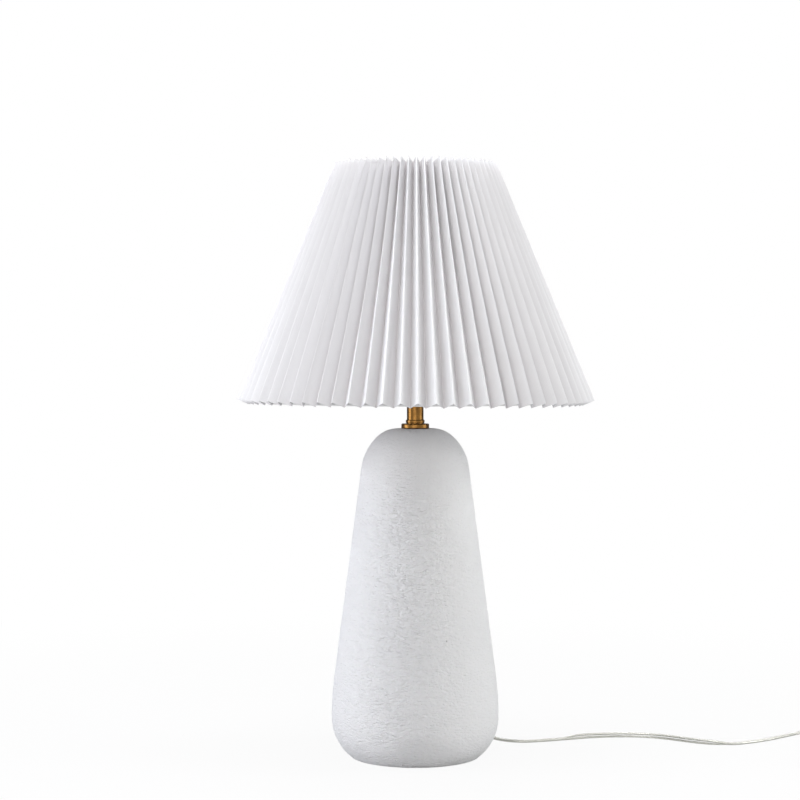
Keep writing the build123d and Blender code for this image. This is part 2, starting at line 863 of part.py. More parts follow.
# Coil: winds in along the table, climbs a layer where it turns back, and winds out again on top
layer_height = (cord_radius + coil_lift, cord_radius + coil_lift + coil_pitch)
stations_per_turn = 4


def coil_point(turn):
    """The middle of the flex after this many turns, clockwise from +X."""
    radius = coil_outer_radius - coil_pitch * min(turn, coil_turns - turn)
    climbed = min(max(2 * turn - coil_turns + 0.5, 0), 1)
    height = layer_height[0] + (layer_height[1] - layer_height[0]) * climbed**2 * (3 - 2 * climbed)
    angle = -2 * pi * turn
    return Vector(coil_place[0] + radius * cos(angle), coil_place[1] + radius * sin(angle), height)


def coil_way(turn):
    """The flex's direction after this many turns."""
    step = 0.01
    return (coil_point(turn + step) - coil_point(turn - step)).normalized()


def biarc(start, start_way, end, end_way):
    """Two arcs that leave start along start_way, run into each other, and reach end along end_way."""
    chord = end - start
    both = start_way + end_way
    spare = 2 * (1 - start_way.dot(end_way))
    reach = (sqrt(chord.dot(both) ** 2 + spare * chord.dot(chord)) - chord.dot(both)) / spare
    middle = (start + end + (start_way - end_way) * reach) * 0.5
    first = TangentArc(start, middle, tangent=start_way)
    TangentArc(middle, end, tangent=first % 1)


coil_start_way = coil_way(0)
coil_end_way = coil_way(coil_turns)
coil_start = coil_point(0) - coil_start_way * (2 * cord_radius)
coil_end = coil_point(coil_turns) + coil_end_way * (2 * cord_radius)
with BuildLine() as coil_line:
    Line(coil_start, coil_point(0))
    for station in range(coil_turns * stations_per_turn):
        turn = station / stations_per_turn
        next_turn = (station + 1) / stations_per_turn
        biarc(coil_point(turn), coil_way(turn), coil_point(next_turn), coil_way(next_turn))
    Line(coil_point(coil_turns), coil_end)
coil_path = coil_line.wires()[0]


def least_gap(path, steps):
    """The least gap between turns of a wound path, measured on points, surface to surface."""
    points = [tuple(path.position_at(step / steps)) for step in range(steps + 1)]
    apart = ceil(pi * coil_outer_radius * steps / path.length)
    nearest = min(
        (a[0] - b[0]) ** 2 + (a[1] - b[1]) ** 2 + (a[2] - b[2]) ** 2
        for i, a in enumerate(points)
        for b in points[i + apart :]
    )
    return sqrt(nearest) - 2 * cord_radius


with BuildPart() as cord_coil:
    with BuildSketch(Plane(coil_start, z_dir=coil_start_way)):
        Circle(cord_radius)
    sweep(path=coil_path)
print_volume("cord_coil", cord_coil.part, coil_path)
print("cord_coil least gap", round(least_gap(coil_path, 700), 2))
cord_coil.part.label = "cord_coil"
export_step(cord_coil.part, "parts/cord_coil.step")

tie_inner = coil_outer_radius - coil_pitch * (coil_turns / 2 - 0.5) - cord_radius - tie_slack
tie_outer = coil_outer_radius - coil_pitch / 2 + cord_radius + tie_slack
tie_bottom = coil_lift - tie_clearance
tie_top = layer_height[1] + cord_radius + tie_slack
tie_middle = (-(tie_inner + tie_outer) / 2, (tie_bottom + tie_top) / 2)
with BuildPart() as coil_tie:
    with BuildSketch(Plane(origin=(*coil_place, 0), x_dir=(1, 0, 0), z_dir=(0, -1, 0))):
        with Locations(tie_middle):
            RectangleRounded(
                tie_outer - tie_inner + 2 * tie_thickness,
                tie_top - tie_bottom + 2 * tie_thickness,
                cord_radius,
            )
            RectangleRounded(
                tie_outer - tie_inner,
                tie_top - tie_bottom,
                cord_radius - tie_thickness,
                mode=Mode.SUBTRACT,
            )
    extrude(amount=tie_width / 2, both=True)
coil_tie.part.label = "coil_tie"
export_step(coil_tie.part, "parts/coil_tie.step")

lead_route = [
    switch_out,
    (switch_place[0], 6, switch_split),
    coil_start - coil_start_way * cord_straight,
    coil_start,
]
lead_path = tube_path("cord_lead", lead_route)
with BuildPart() as cord_lead:
    with BuildSketch(Plane(lead_path @ 0, z_dir=lead_path % 0)):
        Circle(cord_radius)
    sweep(path=lead_path)
print_volume("cord_lead", cord_lead.part, lead_path)
cord_lead.part.label = "cord_lead"
export_step(cord_lead.part, "parts/cord_lead.step")

plug_level = plug_face_thickness / 2
plug_end = Vector(*plug_place, plug_level)
plug_way = Vector(cos(radians(plug_heading)), sin(radians(plug_heading)), 0)
tail_route = [
    coil_end,
    coil_end + coil_end_way * tail_straight,
    plug_end - plug_way * tail_straight,
    plug_end,
]
tail_path = tube_path("cord_tail", tail_route)
with BuildPart() as cord_tail:
    with BuildSketch(Plane(tail_path @ 0, z_dir=tail_path % 0)):
        Circle(cord_radius)
    sweep(path=tail_path)
print_volume("cord_tail", cord_tail.part, tail_path)
cord_tail.part.label = "cord_tail"
export_step(cord_tail.part, "parts/cord_tail.step")


# Switch: two half shells around the flex, with a rocker on stub pins. Its long way is the flex's, towards -Y.
switch_plane = Plane(origin=(*switch_place, 0), x_dir=(0, -1, 0), z_dir=(0, 0, 1))
port_radius = cord_radius + port_clearance
screw_places = [(switch_screw_x, switch_screw_y), (-switch_screw_x, -switch_screw_y)]
switch_across = Plane(
    origin=(switch_place[0], switch_place[1], 0), x_dir=(0, -1, 0), z_dir=(-1, 0, 0)
)


# The flex's way through both ends of the switch, half in each shell
with BuildPart() as cord_way:
    with BuildSketch(Plane(origin=(*switch_place, switch_split), z_dir=(0, 1, 0))):
        Circle(port_radius)
    extrude(amount=switch_length, both=True)

with BuildPart() as switch_base:
    with BuildSketch(switch_plane):
        RectangleRounded(switch_length, switch_width, switch_corner)
    extrude(amount=switch_split)
    fillet(switch_base.edges().group_by(Axis.Z)[0], switch_rounding / 2)
    with BuildSketch(switch_plane.offset(switch_wall)):
        Rectangle(switch_pocket_length, switch_width - 2 * switch_wall)
    extrude(amount=switch_split, mode=Mode.SUBTRACT)
    with BuildSketch(switch_plane):
        with Locations(screw_places):
            Circle(switch_screw_head_radius + cord_clearance)
    extrude(amount=switch_screw_head_height + switch_screw_radius / 2, mode=Mode.SUBTRACT)
    with BuildSketch(switch_plane):
        with Locations(screw_places):
            Circle(switch_screw_radius + thread_clearance)
    extrude(amount=switch_split, mode=Mode.SUBTRACT)
    add(cord_way.part, mode=Mode.SUBTRACT)
switch_base.part.label = "switch_base"
export_step(switch_base.part, "parts/switch_base.step")

rocker_slot_length = 2 * (rocker_sweep_radius + rocker_clearance)
rocker_slot_width = rocker_width + 2 * rocker_clearance
with BuildPart() as switch_cover:
    with BuildSketch(switch_plane.offset(switch_split)):
        RectangleRounded(switch_length, switch_width, switch_corner)
    extrude(amount=switch_height - switch_split)
    fillet(switch_cover.edges().group_by(Axis.Z)[-1], switch_rounding)
    with BuildSketch(switch_plane.offset(switch_split)):
        Rectangle(switch_pocket_length, switch_width - 2 * switch_wall)
    extrude(amount=switch_height - switch_split - switch_wall, mode=Mode.SUBTRACT)
    # Two cheeks hang from the top on either side of the rocker and carry its stub pins.
    with BuildSketch(switch_plane.offset(switch_height - switch_wall / 2)):
        with GridLocations(0, rocker_slot_width + cheek_thickness, 1, 2):
            Rectangle(cheek_length, cheek_thickness)
    extrude(amount=-(switch_height - rocker_pivot_height + pivot_radius))
    with BuildSketch(switch_plane.offset(switch_height)):
        Rectangle(rocker_slot_length, rocker_slot_width)
    extrude(amount=-2 * switch_wall, mode=Mode.SUBTRACT)
    with BuildSketch(switch_across):
        with Locations((0, rocker_pivot_height)):
            Circle(pivot_radius + pivot_clearance)
    extrude(
        amount=rocker_slot_width / 2 + cheek_thickness + rocker_clearance,
        both=True,
        mode=Mode.SUBTRACT,
    )
    with BuildSketch(switch_plane.offset(switch_split)):
        with Locations(screw_places):
            Circle(switch_screw_radius + thread_clearance)
    extrude(amount=switch_screw_length - switch_split + switch_wall, mode=Mode.SUBTRACT)
    add(cord_way.part, mode=Mode.SUBTRACT)
switch_cover.part.label = "switch_cover"
export_step(switch_cover.part, "parts/switch_cover.step")

with BuildPart() as switch_screws:
    with BuildSketch(switch_plane.offset(switch_screw_radius / 2)):
        with Locations(screw_places):
            Circle(switch_screw_head_radius)
    extrude(amount=switch_screw_head_height)
    with BuildSketch(switch_plane.offset(switch_screw_radius / 2)):
        with Locations(screw_places):
            Circle(switch_screw_radius)
    extrude(amount=switch_screw_length)
    with BuildSketch(switch_plane.offset(switch_screw_radius / 2)):
        with Locations(screw_places):
            Rectangle(2 * switch_screw_head_radius, switch_screw_head_radius / 3)
            Rectangle(switch_screw_head_radius / 3, 2 * switch_screw_head_radius)
    extrude(amount=switch_screw_head_height / 2, mode=Mode.SUBTRACT)
switch_screws.part.label = "switch_screws"
export_step(switch_screws.part, "parts/switch_screws.step")

# Each terminal block meets the cut end of a stretch of flex, and a blade runs in under the rocker.
terminal_middle = switch_face - terminal_size / 2
blade_length = terminal_middle - pivot_radius
with BuildPart() as switch_contacts:
    with BuildSketch(switch_plane.offset(switch_wall)):
        with GridLocations(2 * terminal_middle, 0, 2, 1):
            Rectangle(terminal_size, terminal_size)
    extrude(amount=terminal_height)
    with BuildSketch(switch_plane.offset(switch_wall)):
        with Locations((-terminal_middle + blade_length / 2, 0)):
            Rectangle(blade_length, terminal_size / 2)
    extrude(amount=contact_strip)
switch_contacts.part.label = "switch_contacts"
export_step(switch_contacts.part, "parts/switch_contacts.step")

with BuildPart() as switch_rocker:
    rocker_plane = Plane(
        origin=(switch_place[0], switch_place[1], rocker_pivot_height),
        x_dir=(0, -cos(radians(rocker_tilt)), sin(radians(rocker_tilt))),
        z_dir=(-1, 0, 0),
    )
    with BuildSketch(rocker_plane):
        Circle(rocker_sweep_radius)
        reach = 2 * rocker_sweep_radius
        with BuildLine():
            Polyline(
                (-reach, -rocker_underside),
                (reach, -rocker_underside),
                (reach, rocker_crown + reach * tan(radians(rocker_dish))),
                (0, rocker_crown),
                (-reach, rocker_crown + reach * tan(radians(rocker_dish))),
                close=True,
            )
        make_face(mode=Mode.INTERSECT)
    extrude(amount=rocker_width / 2, both=True)
    with BuildSketch(rocker_plane):
        Circle(pivot_radius)
    extrude(amount=rocker_width / 2 + pivot_length, both=True)
switch_rocker.part.label = "switch_rocker"
export_step(switch_rocker.part, "parts/switch_rocker.step")


# Plug: a ribbed relief that swells into a flat body, with two pins in sleeves
plug_across = Vector(-plug_way.Y, plug_way.X, 0)
plug_plane = Plane(origin=plug_end, x_dir=plug_across, z_dir=plug_way)
plug_face_at = plug_relief_length + plug_body_length
pin_places = [(-pin_spacing / 2, 0), (pin_spacing / 2, 0)]


def plug_section(share_wide, share_thick):
    """The plug's eight-sided outline, as shares of its face's width and thickness."""
    wide = plug_face_width / 2 * share_wide
    thick = plug_face_thickness / 2 * share_thick
    Polygon(
        *((wide, -thick * 0.36), (wide, thick * 0.36), (wide * 0.74, thick), (-wide * 0.74, thick)),
        *((-wide, thick * 0.36), (-wide, -thick * 0.36), (-wide * 0.74, -thick)),
        (wide * 0.74, -thick),
        align=None,
    )


with BuildPart() as plug_body:
    rib_length = plug_relief_length / (2 * plug_relief_ribs + 1)
    with BuildSketch(plug_plane):
        Circle(plug_relief_end_radius)
    with BuildSketch(plug_plane.offset(plug_relief_length)):
        Circle(plug_relief_radius)
    loft()
    # Grooves leave the ribs standing.
    for rib in range(plug_relief_ribs):
        with BuildSketch(plug_plane.offset((2 * rib + 1) * rib_length)):
            Circle(2 * plug_relief_radius)
            Circle(cord_radius + cord_clearance, mode=Mode.SUBTRACT)
        extrude(amount=rib_length, mode=Mode.SUBTRACT)
    for height, share_wide, share_thick in ((0, 0.42, 0.82), (0.45, 0.78, 0.97), (1, 1, 1)):
        with BuildSketch(plug_plane.offset(plug_relief_length + height * plug_body_length)):
            plug_section(share_wide, share_thick)
    loft(ruled=True)
    with BuildSketch(plug_plane.offset(plug_face_at)):
        with Locations(pin_places):
            Circle(pin_core_radius + thread_clearance)
    extrude(amount=-pin_root, mode=Mode.SUBTRACT)
plug_body.part.label = "plug_body"
export_step(plug_body.part, "parts/plug_body.step")

with BuildPart() as plug_pins:
    with BuildSketch(plug_plane.offset(plug_face_at - pin_root)):
        with Locations(pin_places):
            Circle(pin_core_radius)
    extrude(amount=pin_root + pin_sleeve_length)
    with BuildSketch(plug_plane.offset(plug_face_at + pin_sleeve_length)):
        with Locations(pin_places):
            Circle(pin_radius)
    extrude(amount=pin_length - pin_sleeve_length)
    tips = plug_pins.faces().sort_by(Axis(plug_plane.origin, plug_way))[-2:]
    fillet(tips.edges(), pin_tip_rounding)
plug_pins.part.label = "plug_pins"
export_step(plug_pins.part, "parts/plug_pins.step")

with BuildPart() as pin_sleeves:
    with BuildSketch(plug_plane.offset(plug_face_at)):
        with Locations(pin_places):
            Circle(pin_sleeve_radius)
            Circle(pin_core_radius + thread_clearance, mode=Mode.SUBTRACT)
    extrude(amount=pin_sleeve_length)
pin_sleeves.part.label = "pin_sleeves"
export_step(pin_sleeves.part, "parts/pin_sleeves.step")
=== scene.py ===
import math

import bmesh
import bpy
from mathutils import Matrix, Vector, noise


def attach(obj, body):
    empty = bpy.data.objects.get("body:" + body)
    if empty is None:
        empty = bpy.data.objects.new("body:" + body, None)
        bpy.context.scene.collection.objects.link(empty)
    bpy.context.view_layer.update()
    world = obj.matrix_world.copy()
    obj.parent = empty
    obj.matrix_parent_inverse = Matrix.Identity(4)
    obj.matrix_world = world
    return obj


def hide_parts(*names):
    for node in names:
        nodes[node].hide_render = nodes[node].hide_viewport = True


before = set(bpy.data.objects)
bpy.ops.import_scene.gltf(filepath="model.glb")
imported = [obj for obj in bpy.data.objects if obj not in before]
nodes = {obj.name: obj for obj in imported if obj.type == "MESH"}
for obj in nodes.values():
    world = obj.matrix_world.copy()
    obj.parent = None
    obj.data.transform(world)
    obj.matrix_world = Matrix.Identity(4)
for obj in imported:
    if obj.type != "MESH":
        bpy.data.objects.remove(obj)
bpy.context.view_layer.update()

# Ceramic table lamp with a pleated shade. Metres, +Z up, the foot's middle at the origin, the photograph's
# side at -Y. The sections follow the lamp as it is put together, after the camera and the studio.


# Camera: a long lens a little above the middle of the lamp, in front of it, that looks along +Y and slightly
# down.
camera_place = (-0.01489, -1.92992, 0.398766)
camera_pitch = math.radians(1.4674)
camera_lens_mm = 88.84
camera_sensor_mm = 36


def new_object(name, data):
    """An object at the origin of the scene for this mesh, curve, lamp or camera."""
    made = bpy.data.objects.new(name, data)
    bpy.context.scene.collection.objects.link(made)
    return made


view_camera = bpy.data.cameras.new("photo_view")
view_camera.lens = camera_lens_mm
view_camera.sensor_width = camera_sensor_mm
camera = new_object("photo_view", view_camera)
camera.location = camera_place
camera.rotation_euler = (math.pi / 2 - camera_pitch, 0, 0)
bpy.context.scene.camera = camera
bpy.context.scene.view_settings.view_transform = "Standard"


# Studio: a white floor that runs off into a white background, and keeps a faint shadow near the lamp.
# Softboxes stand left and right, the left ones cooler, and others hang above, behind and in front.
floor_size = 12.0
floor_grey = 0.62
floor_glow_near = 0.93
shadow_reach = (0.25, 1.1)
softbox_target = Vector((0, 0, 0.3))


def feed(socket, value):
    """Gives a socket a value, or joins another node's output to it."""
    if isinstance(value, bpy.types.NodeSocket):
        socket.id_data.links.new(value, socket)
    else:
        socket.default_value = value


def add_node(tree, kind, inputs=None, **settings):
    """A new node with its properties set, and each named input given a value or another node's output."""
    node = tree.nodes.new(kind)
    for name, value in settings.items():
        setattr(node, name, value)
    for name, value in (inputs or {}).items():
        feed(node.inputs[name], value)
    return node


def tree_of(*terms):
    """The node tree that the first output among these terms belongs to."""
    return next(term.id_data for term in terms if isinstance(term, bpy.types.NodeSocket))


def maths(operation, *terms):
    """The output of a Math node, in the tree that its terms come from."""
    node = add_node(tree_of(*terms), "ShaderNodeMath", dict(enumerate(terms)), operation=operation)
    return node.outputs["Value"]


def vector_maths(operation, *terms, **named):
    """The output of a Vector Math node, in the tree that its terms come from."""
    values = {**dict(enumerate(terms)), **named}
    node = add_node(tree_of(*terms), "ShaderNodeVectorMath", values, operation=operation)
    return node.outputs["Value" if operation == "LENGTH" else "Vector"]


def ramp(value, start, end, first, last, interpolation="LINEAR"):
    """A number that runs from first to last as a value runs from start to end."""
    values = {"Value": value, 1: start, 2: end, 3: first, 4: last}
    node = add_node(tree_of(value), "ShaderNodeMapRange", values, interpolation_type=interpolation)
    return node.outputs[0]


def object_place(tree):
    """The place on the piece that a material covers."""
    return add_node(tree, "ShaderNodeTexCoord").outputs["Object"]


def seen_by_eye(tree):
    """1 for rays from the camera, mirrors and glass, and 0 for rays that light the object."""
    rays = add_node(tree, "ShaderNodeLightPath").outputs
    mirrored = maths("MAXIMUM", rays["Is Glossy Ray"], rays["Is Transmission Ray"])
    return maths("MAXIMUM", rays["Is Camera Ray"], mirrored)


def new_material(name, **values):
    """A material, its node tree and its shader's inputs, with plain numbers and colours on the inputs."""
    made = bpy.data.materials.new(name)
    made.use_nodes = True
    shader = made.node_tree.nodes["Principled BSDF"]
    for socket, value in values.items():
        shader.inputs[socket.replace("_", " ")].default_value = value
    return made, made.node_tree, shader.inputs


def add_softbox(name, place, size, power, tint):
    """A soft lamp that is turned to the table lamp's middle, and that the camera doesn't see."""
    light = bpy.data.lights.new(name, "AREA")
    light.shape = "RECTANGLE"
    light.size, light.size_y = size
    light.energy = power
    light.color = tint
    softbox = new_object(name, light)
    softbox.visible_camera = False
    softbox.location = place
    softbox.rotation_euler = (softbox_target - Vector(place)).to_track_quat("-Z", "Y").to_euler()


floor_mesh = bpy.data.meshes.new("floor")
edge = floor_size / 2
floor_corners = [(-edge, -edge, 0), (edge, -edge, 0), (edge, edge, 0), (-edge, edge, 0)]
floor_mesh.from_pydata(floor_corners, [], [(0, 1, 2, 3)])
new_object("floor", floor_mesh)

floor_paint, tree, shader = new_material("white_floor")
tree.nodes.remove(tree.nodes["Principled BSDF"])
away = vector_maths("LENGTH", object_place(tree))
glow_share = ramp(away, *shadow_reach, floor_glow_near, 1.0, "SMOOTHSTEP")
paper = add_node(tree, "ShaderNodeBsdfDiffuse", {"Color": (floor_grey, floor_grey, floor_grey, 1)})
glow = add_node(tree, "ShaderNodeEmission", {"Color": (1, 1, 1, 1), "Strength": 1.0})
share = maths("MULTIPLY", seen_by_eye(tree), glow_share)
mixed = add_node(tree, "ShaderNodeMixShader", {0: share, 1: paper.outputs[0], 2: glow.outputs[0]})
feed(tree.nodes["Material Output"].inputs["Surface"], mixed.outputs[0])
floor_mesh.materials.append(floor_paint)

world = bpy.data.worlds.new("studio")
bpy.context.scene.world = world
world.use_nodes = True
background = world.node_tree.nodes["Background"].inputs
background["Color"].default_value = (1, 1, 1, 1)
feed(background["Strength"], seen_by_eye(world.node_tree))

add_softbox("left_softbox", (-1.9, -0.3, 0.7), (0.9, 1.5), power=22.4, tint=(0.92, 0.935, 1.0))
add_softbox("high_left_softbox", (-1.45, -0.8, 1.6), (0.8, 1.0), power=11.6, tint=(0.88, 0.925, 1.0))
add_softbox("right_softbox", (1.9, -0.2, 1.0), (1.0, 1.48), power=27.4, tint=(0.985, 1.0, 1.0))
add_softbox("top_softbox", (0.0, -0.1, 1.45), (0.9, 0.9), power=18.6, tint=(0.98, 0.97, 1.0))
add_softbox("back_softbox", (0.4, 2.2, 1.3), (1.6, 1.2), power=11.0, tint=(1.0, 1.0, 1.0))
add_softbox("front_softbox", (-0.3, -2.4, 0.7), (1.5, 1.2), power=15.6, tint=(1.0, 0.965, 0.935))


# Black cards: two curved cards stand close behind the neck, as in a studio, and are seen only in its gloss.
# They give the brass its dark edges.
card_reach = 0.3
card_heights = (0.30, 0.40)
card_bearings = [math.radians(bearing) for bearing in range(95, 165, 5)]

card_count = len(card_bearings)
card_faces = [(k, k + 1, card_count + k + 1, card_count + k) for k in range(card_count - 1)]
card_paint, tree, shader = new_material("black_card", Base_Color=(0.01, 0.01, 0.01, 1))
for side in (-1, 1):
    card_arc = [(side * card_reach * math.sin(b), -card_reach * math.cos(b)) for b in card_bearings]
    card_mesh = bpy.data.meshes.new("black_card")
    card_mesh.from_pydata([(x, y, z) for z in card_heights for x, y in card_arc], [], card_faces)
    card_mesh.materials.append(card_paint)
    card = new_object("black_card", card_mesh)
    for ray in ("camera", "diffuse", "transmission", "volume_scatter", "shadow"):
        setattr(card, "visible_" + ray, False)


# Felt pad: a disc of dark grey needle felt, 2 mm thick, glued into a shallow recess in the foot so that the
# glaze never touches the table. Its cut edge is a little hairy.
MM = 0.001
pad_radius = 56.0 * MM
pad_thickness = 2.0 * MM
pad_edge = 0.4 * MM
pad_ring_count = 24
pad_columns = 200
fray_depth = 0.35 * MM
fray_size = 1.7 * MM


def turned_mesh(name, outline, columns, ring=True):
    """A (radius, height) outline turned about Z. A ring closes on itself, and a solid's ends are on Z."""
    mesh = bpy.data.meshes.new(name)
    points, rows = [], []
    for r, z in outline:
        if r == 0:
            rows.append([len(points)] * columns)
            points.append((0, 0, z))
        else:
            rows.append(list(range(len(points), len(points) + columns)))
            turns = [2 * math.pi * c / columns for c in range(columns)]
            points += [(r * math.cos(a), r * math.sin(a), z) for a in turns]
    faces = []
    for low, high in zip(rows, rows[1:] + rows[:1] if ring else rows[1:]):
        for c in range(columns):
            d = (c + 1) % columns
            corners = [low[c], low[d], high[d], high[c]]
            faces.append([v for i, v in enumerate(corners) if v != corners[i - 1]])
    mesh.from_pydata(points, [], faces)
    mesh.update()
    return mesh


def smooth(mesh, angle=40):
    """Smooth shading that keeps edges sharper than this many degrees."""
    mesh.polygons.foreach_set("use_smooth", [True] * len(mesh.polygons))
    mesh.set_sharp_from_angle(angle=math.radians(angle))


def colour_mix(share, first, second):
    """A colour between two colours, each given as red, green and blue or as another node's output."""
    first, second = [c if isinstance(c, bpy.types.NodeSocket) else (*c, 1) for c in (first, second)]
    values = {0: share, 6: first, 7: second}
    return add_node(tree_of(share), "ShaderNodeMix", values, data_type="RGBA").outputs[2]


def noise_value(coords, scale, detail=2.0, distortion=0.0):
    """Smooth noise from 0 to 1 over the piece, with this many features to the metre."""
    values = {"Vector": coords, "Scale": scale, "Detail": detail, "Distortion": distortion}
    return add_node(tree_of(coords), "ShaderNodeTexNoise", values).outputs[0]


def bump(shader, height, strength, depth):
    """Gives a material's surface a relief from 0 to 1 of this depth."""
    values = {"Height": height, "Strength": strength, "Distance": depth}
    feed(shader["Normal"], add_node(tree_of(height), "ShaderNodeBump", values).outputs[0])


def finish_piece(piece, body, material, replaced=()):
    """Gives a finished piece its material and its body, and hides the CAD nodes that it stands for."""
    piece.data.materials.clear()
    piece.data.materials.append(material)
    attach(piece, body)
    if replaced:
        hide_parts(*replaced)
    return piece


pad_rings = [pad_radius * ring / pad_ring_count for ring in range(pad_ring_count)]
pad_outline = (
    [(r, 0) for r in pad_rings]
    + [(pad_radius - pad_edge, 0), (pad_radius, pad_edge), (pad_radius, pad_thickness - pad_edge)]
    + [(pad_radius - pad_edge, pad_thickness)]
    + [(r, pad_thickness) for r in reversed(pad_rings)]
)
felt_mesh = turned_mesh("felt_disc", pad_outline, pad_columns, ring=False)
for vertex in felt_mesh.vertices:
    reach = math.hypot(vertex.co.x, vertex.co.y)
    if reach > pad_radius - 2 * pad_edge:
        fray = 0.5 + 0.5 * noise.noise(vertex.co / fray_size)
        vertex.co.xy *= 1 - fray * fray_depth / reach
smooth(felt_mesh, 50)

felt, tree, shader = new_material("grey_needle_felt", Roughness=0.96, Sheen_Weight=0.35, Sheen_Roughness=0.6)
fibres = noise_value(object_place(tree), scale=1900.0, detail=4.0, distortion=1.8)
flecks = noise_value(object_place(tree), scale=420.0, detail=3.0, distortion=0.6)
feed(shader["Base Color"], colour_mix(flecks, (0.018, 0.018, 0.02), (0.06, 0.06, 0.064)))
bump(shader, fibres, strength=0.8, depth=0.4 * MM)
felt_disc = finish_piece(new_object("felt_disc", felt_mesh), "lamp", felt, ["felt_pad"])


# Ceramic body: a slip-cast shell, 6 mm thick and open underneath, under a matt white glaze that was laid on
# rough and has drawn up into fine wrinkles. The flex leaves through a round hole low at the back.
body_height = 321.5 * MM
body_wall = 6.0 * MM
belly_radius = 81.8 * MM
belly_height = 39.0 * MM
foot_arc_radius = 47.5 * MM
belly_arc_radius = 320.0 * MM
shoulder_arc_radius = 50.0 * MM
crown_arc_radius = 28.0 * MM
side_lean = math.radians(7.43)
crown_start_angle = math.radians(49.0)
foot_height = 0.8 * MM
foot_edge_rounding = 1.5 * MM
foot_bend_step = (0.4 * MM, 0.35 * MM)
pad_recess_height = 2.0 * MM
pad_recess_radius = 56.5 * MM
bolt_hole_radius = 5.6 * MM
cord_hole_height = 20.0 * MM
cord_hole_radius = 4.85 * MM
grommet_seat_radius = 7.3 * MM
grommet_seat_depth = 0.8 * MM
rough_reach = 80.0 * MM
rough_middle = -15.0 * MM
rough_top = 240.0 * MM
smoothest = 0.32
body_columns = 300
body_rows = 282
inner_rows = 16
fade_rows = 6
plain_rows = 4


def arc_points(centre, radius, start, end, count):
    """Points on an arc in the (radius, height) plane, from one angle to another."""
    angles = [start + (end - start) * step / count for step in range(count + 1)]
    return [(centre[0] + radius * math.cos(a), centre[1] + radius * math.sin(a)) for a in angles]


def evenly(points, count):
    """The same outline with its points at equal steps."""
    lengths = [0]
    for a, b in zip(points, points[1:]):
        lengths.append(lengths[-1] + math.dist(a, b))
    spaced, i = [], 0
    for step in range(count + 1):
        at = lengths[-1] * step / count
        while i < len(points) - 2 and lengths[i + 1] < at:
            i += 1
        share = (at - lengths[i]) / (lengths[i + 1] - lengths[i])
        spaced.append(tuple(p + (q - p) * share for p, q in zip(points[i], points[i + 1])))
    return spaced


foot_centre = (belly_radius - foot_arc_radius, belly_height)
belly_centre = (belly_radius - belly_arc_radius, belly_height)
arc_step = shoulder_arc_radius - crown_arc_radius
shoulder_up = body_height - crown_arc_radius - arc_step * math.sin(crown_start_angle)
side_reach = belly_centre[0] * math.cos(side_lean) + belly_centre[1] * math.sin(side_lean) + belly_arc_radius
shoulder_out = (side_reach - shoulder_arc_radius - shoulder_up * math.sin(side_lean)) / math.cos(side_lean)
shoulder_centre = (shoulder_out, shoulder_up)
crown_centre = (
    shoulder_centre[0] + arc_step * math.cos(crown_start_angle),
    shoulder_centre[1] + arc_step * math.sin(crown_start_angle),
)


def body_outline(inset, foot):
    """Half of the body's section from this height up to its bolt hole, this far inside its outer face."""
    foot_start = math.asin((foot - foot_centre[1]) / (foot_arc_radius - inset))
    return (
        arc_points(foot_centre, foot_arc_radius - inset, foot_start, 0, 40)
        + arc_points(belly_centre, belly_arc_radius - inset, 0, side_lean, 20)
        + arc_points(shoulder_centre, shoulder_arc_radius - inset, side_lean, crown_start_angle, 30)
        + arc_points(crown_centre, crown_arc_radius - inset, crown_start_angle, math.pi / 2, 30)
        + [(bolt_hole_radius, body_height - inset)]
    )


outer_line = evenly(body_outline(0, foot_height + foot_edge_rounding), body_rows)
inner_line = evenly(body_outline(body_wall, pad_recess_height), inner_rows)
foot_rim = math.sqrt(foot_arc_radius**2 - (belly_height - foot_height) ** 2) + foot_centre[0]
foot_rim -= foot_edge_rounding
foot_line = [
    (pad_recess_radius, pad_recess_height),
    (pad_recess_radius, foot_height),
    (foot_rim, foot_height),
    ((foot_rim + outer_line[0][0]) / 2 + foot_bend_step[0], foot_height + foot_bend_step[1]),
]
body_mesh = turned_mesh("ceramic_shell", foot_line + outer_line + inner_line[::-1], body_columns)
fades = [min(row, body_rows - plain_rows - row) / fade_rows for row in range(body_rows + 1)]
row_shares = [0] * len(foot_line) + [min(1, max(0, fade)) for fade in fades] + [0] * len(inner_line)
glazed_shares = body_mesh.attributes.new("glazed", "FLOAT", "POINT")
glazed_shares.data.foreach_set("value", [share for share in row_shares for column in range(body_columns)])
ceramic_shell = new_object("ceramic_shell", body_mesh)


def new_tree(name, kind, inputs, outputs):
    """A node group. Each named input has its first number or its type, and each named output has its type."""
    tree = bpy.data.node_groups.new(name, kind)
    for socket, value in inputs.items():
        item_type = {int: "Int", float: "Float"}.get(type(value), value)
        item = tree.interface.new_socket(name=socket, in_out="INPUT", socket_type="NodeSocket" + item_type)
        if item_type != value:
            item.default_value = value
    for socket, item_type in outputs.items():
        tree.interface.new_socket(name=socket, in_out="OUTPUT", socket_type="NodeSocket" + item_type)
    given = tree.nodes.new("NodeGroupInput").outputs
    result = tree.nodes.new("NodeGroupOutput").inputs
    return tree, given, result


def evaluated_mesh(piece):
    """The plain mesh that a curve or a piece's modifiers come to."""
    bpy.context.view_layer.update()
    return bpy.data.meshes.new_from_object(piece.evaluated_get(bpy.context.evaluated_depsgraph_get()))


def apply_modifiers(piece):
    """Keeps what a piece's modifiers make of it as its own plain mesh."""
    made = evaluated_mesh(piece)
    piece.modifiers.clear()
    piece.data = made


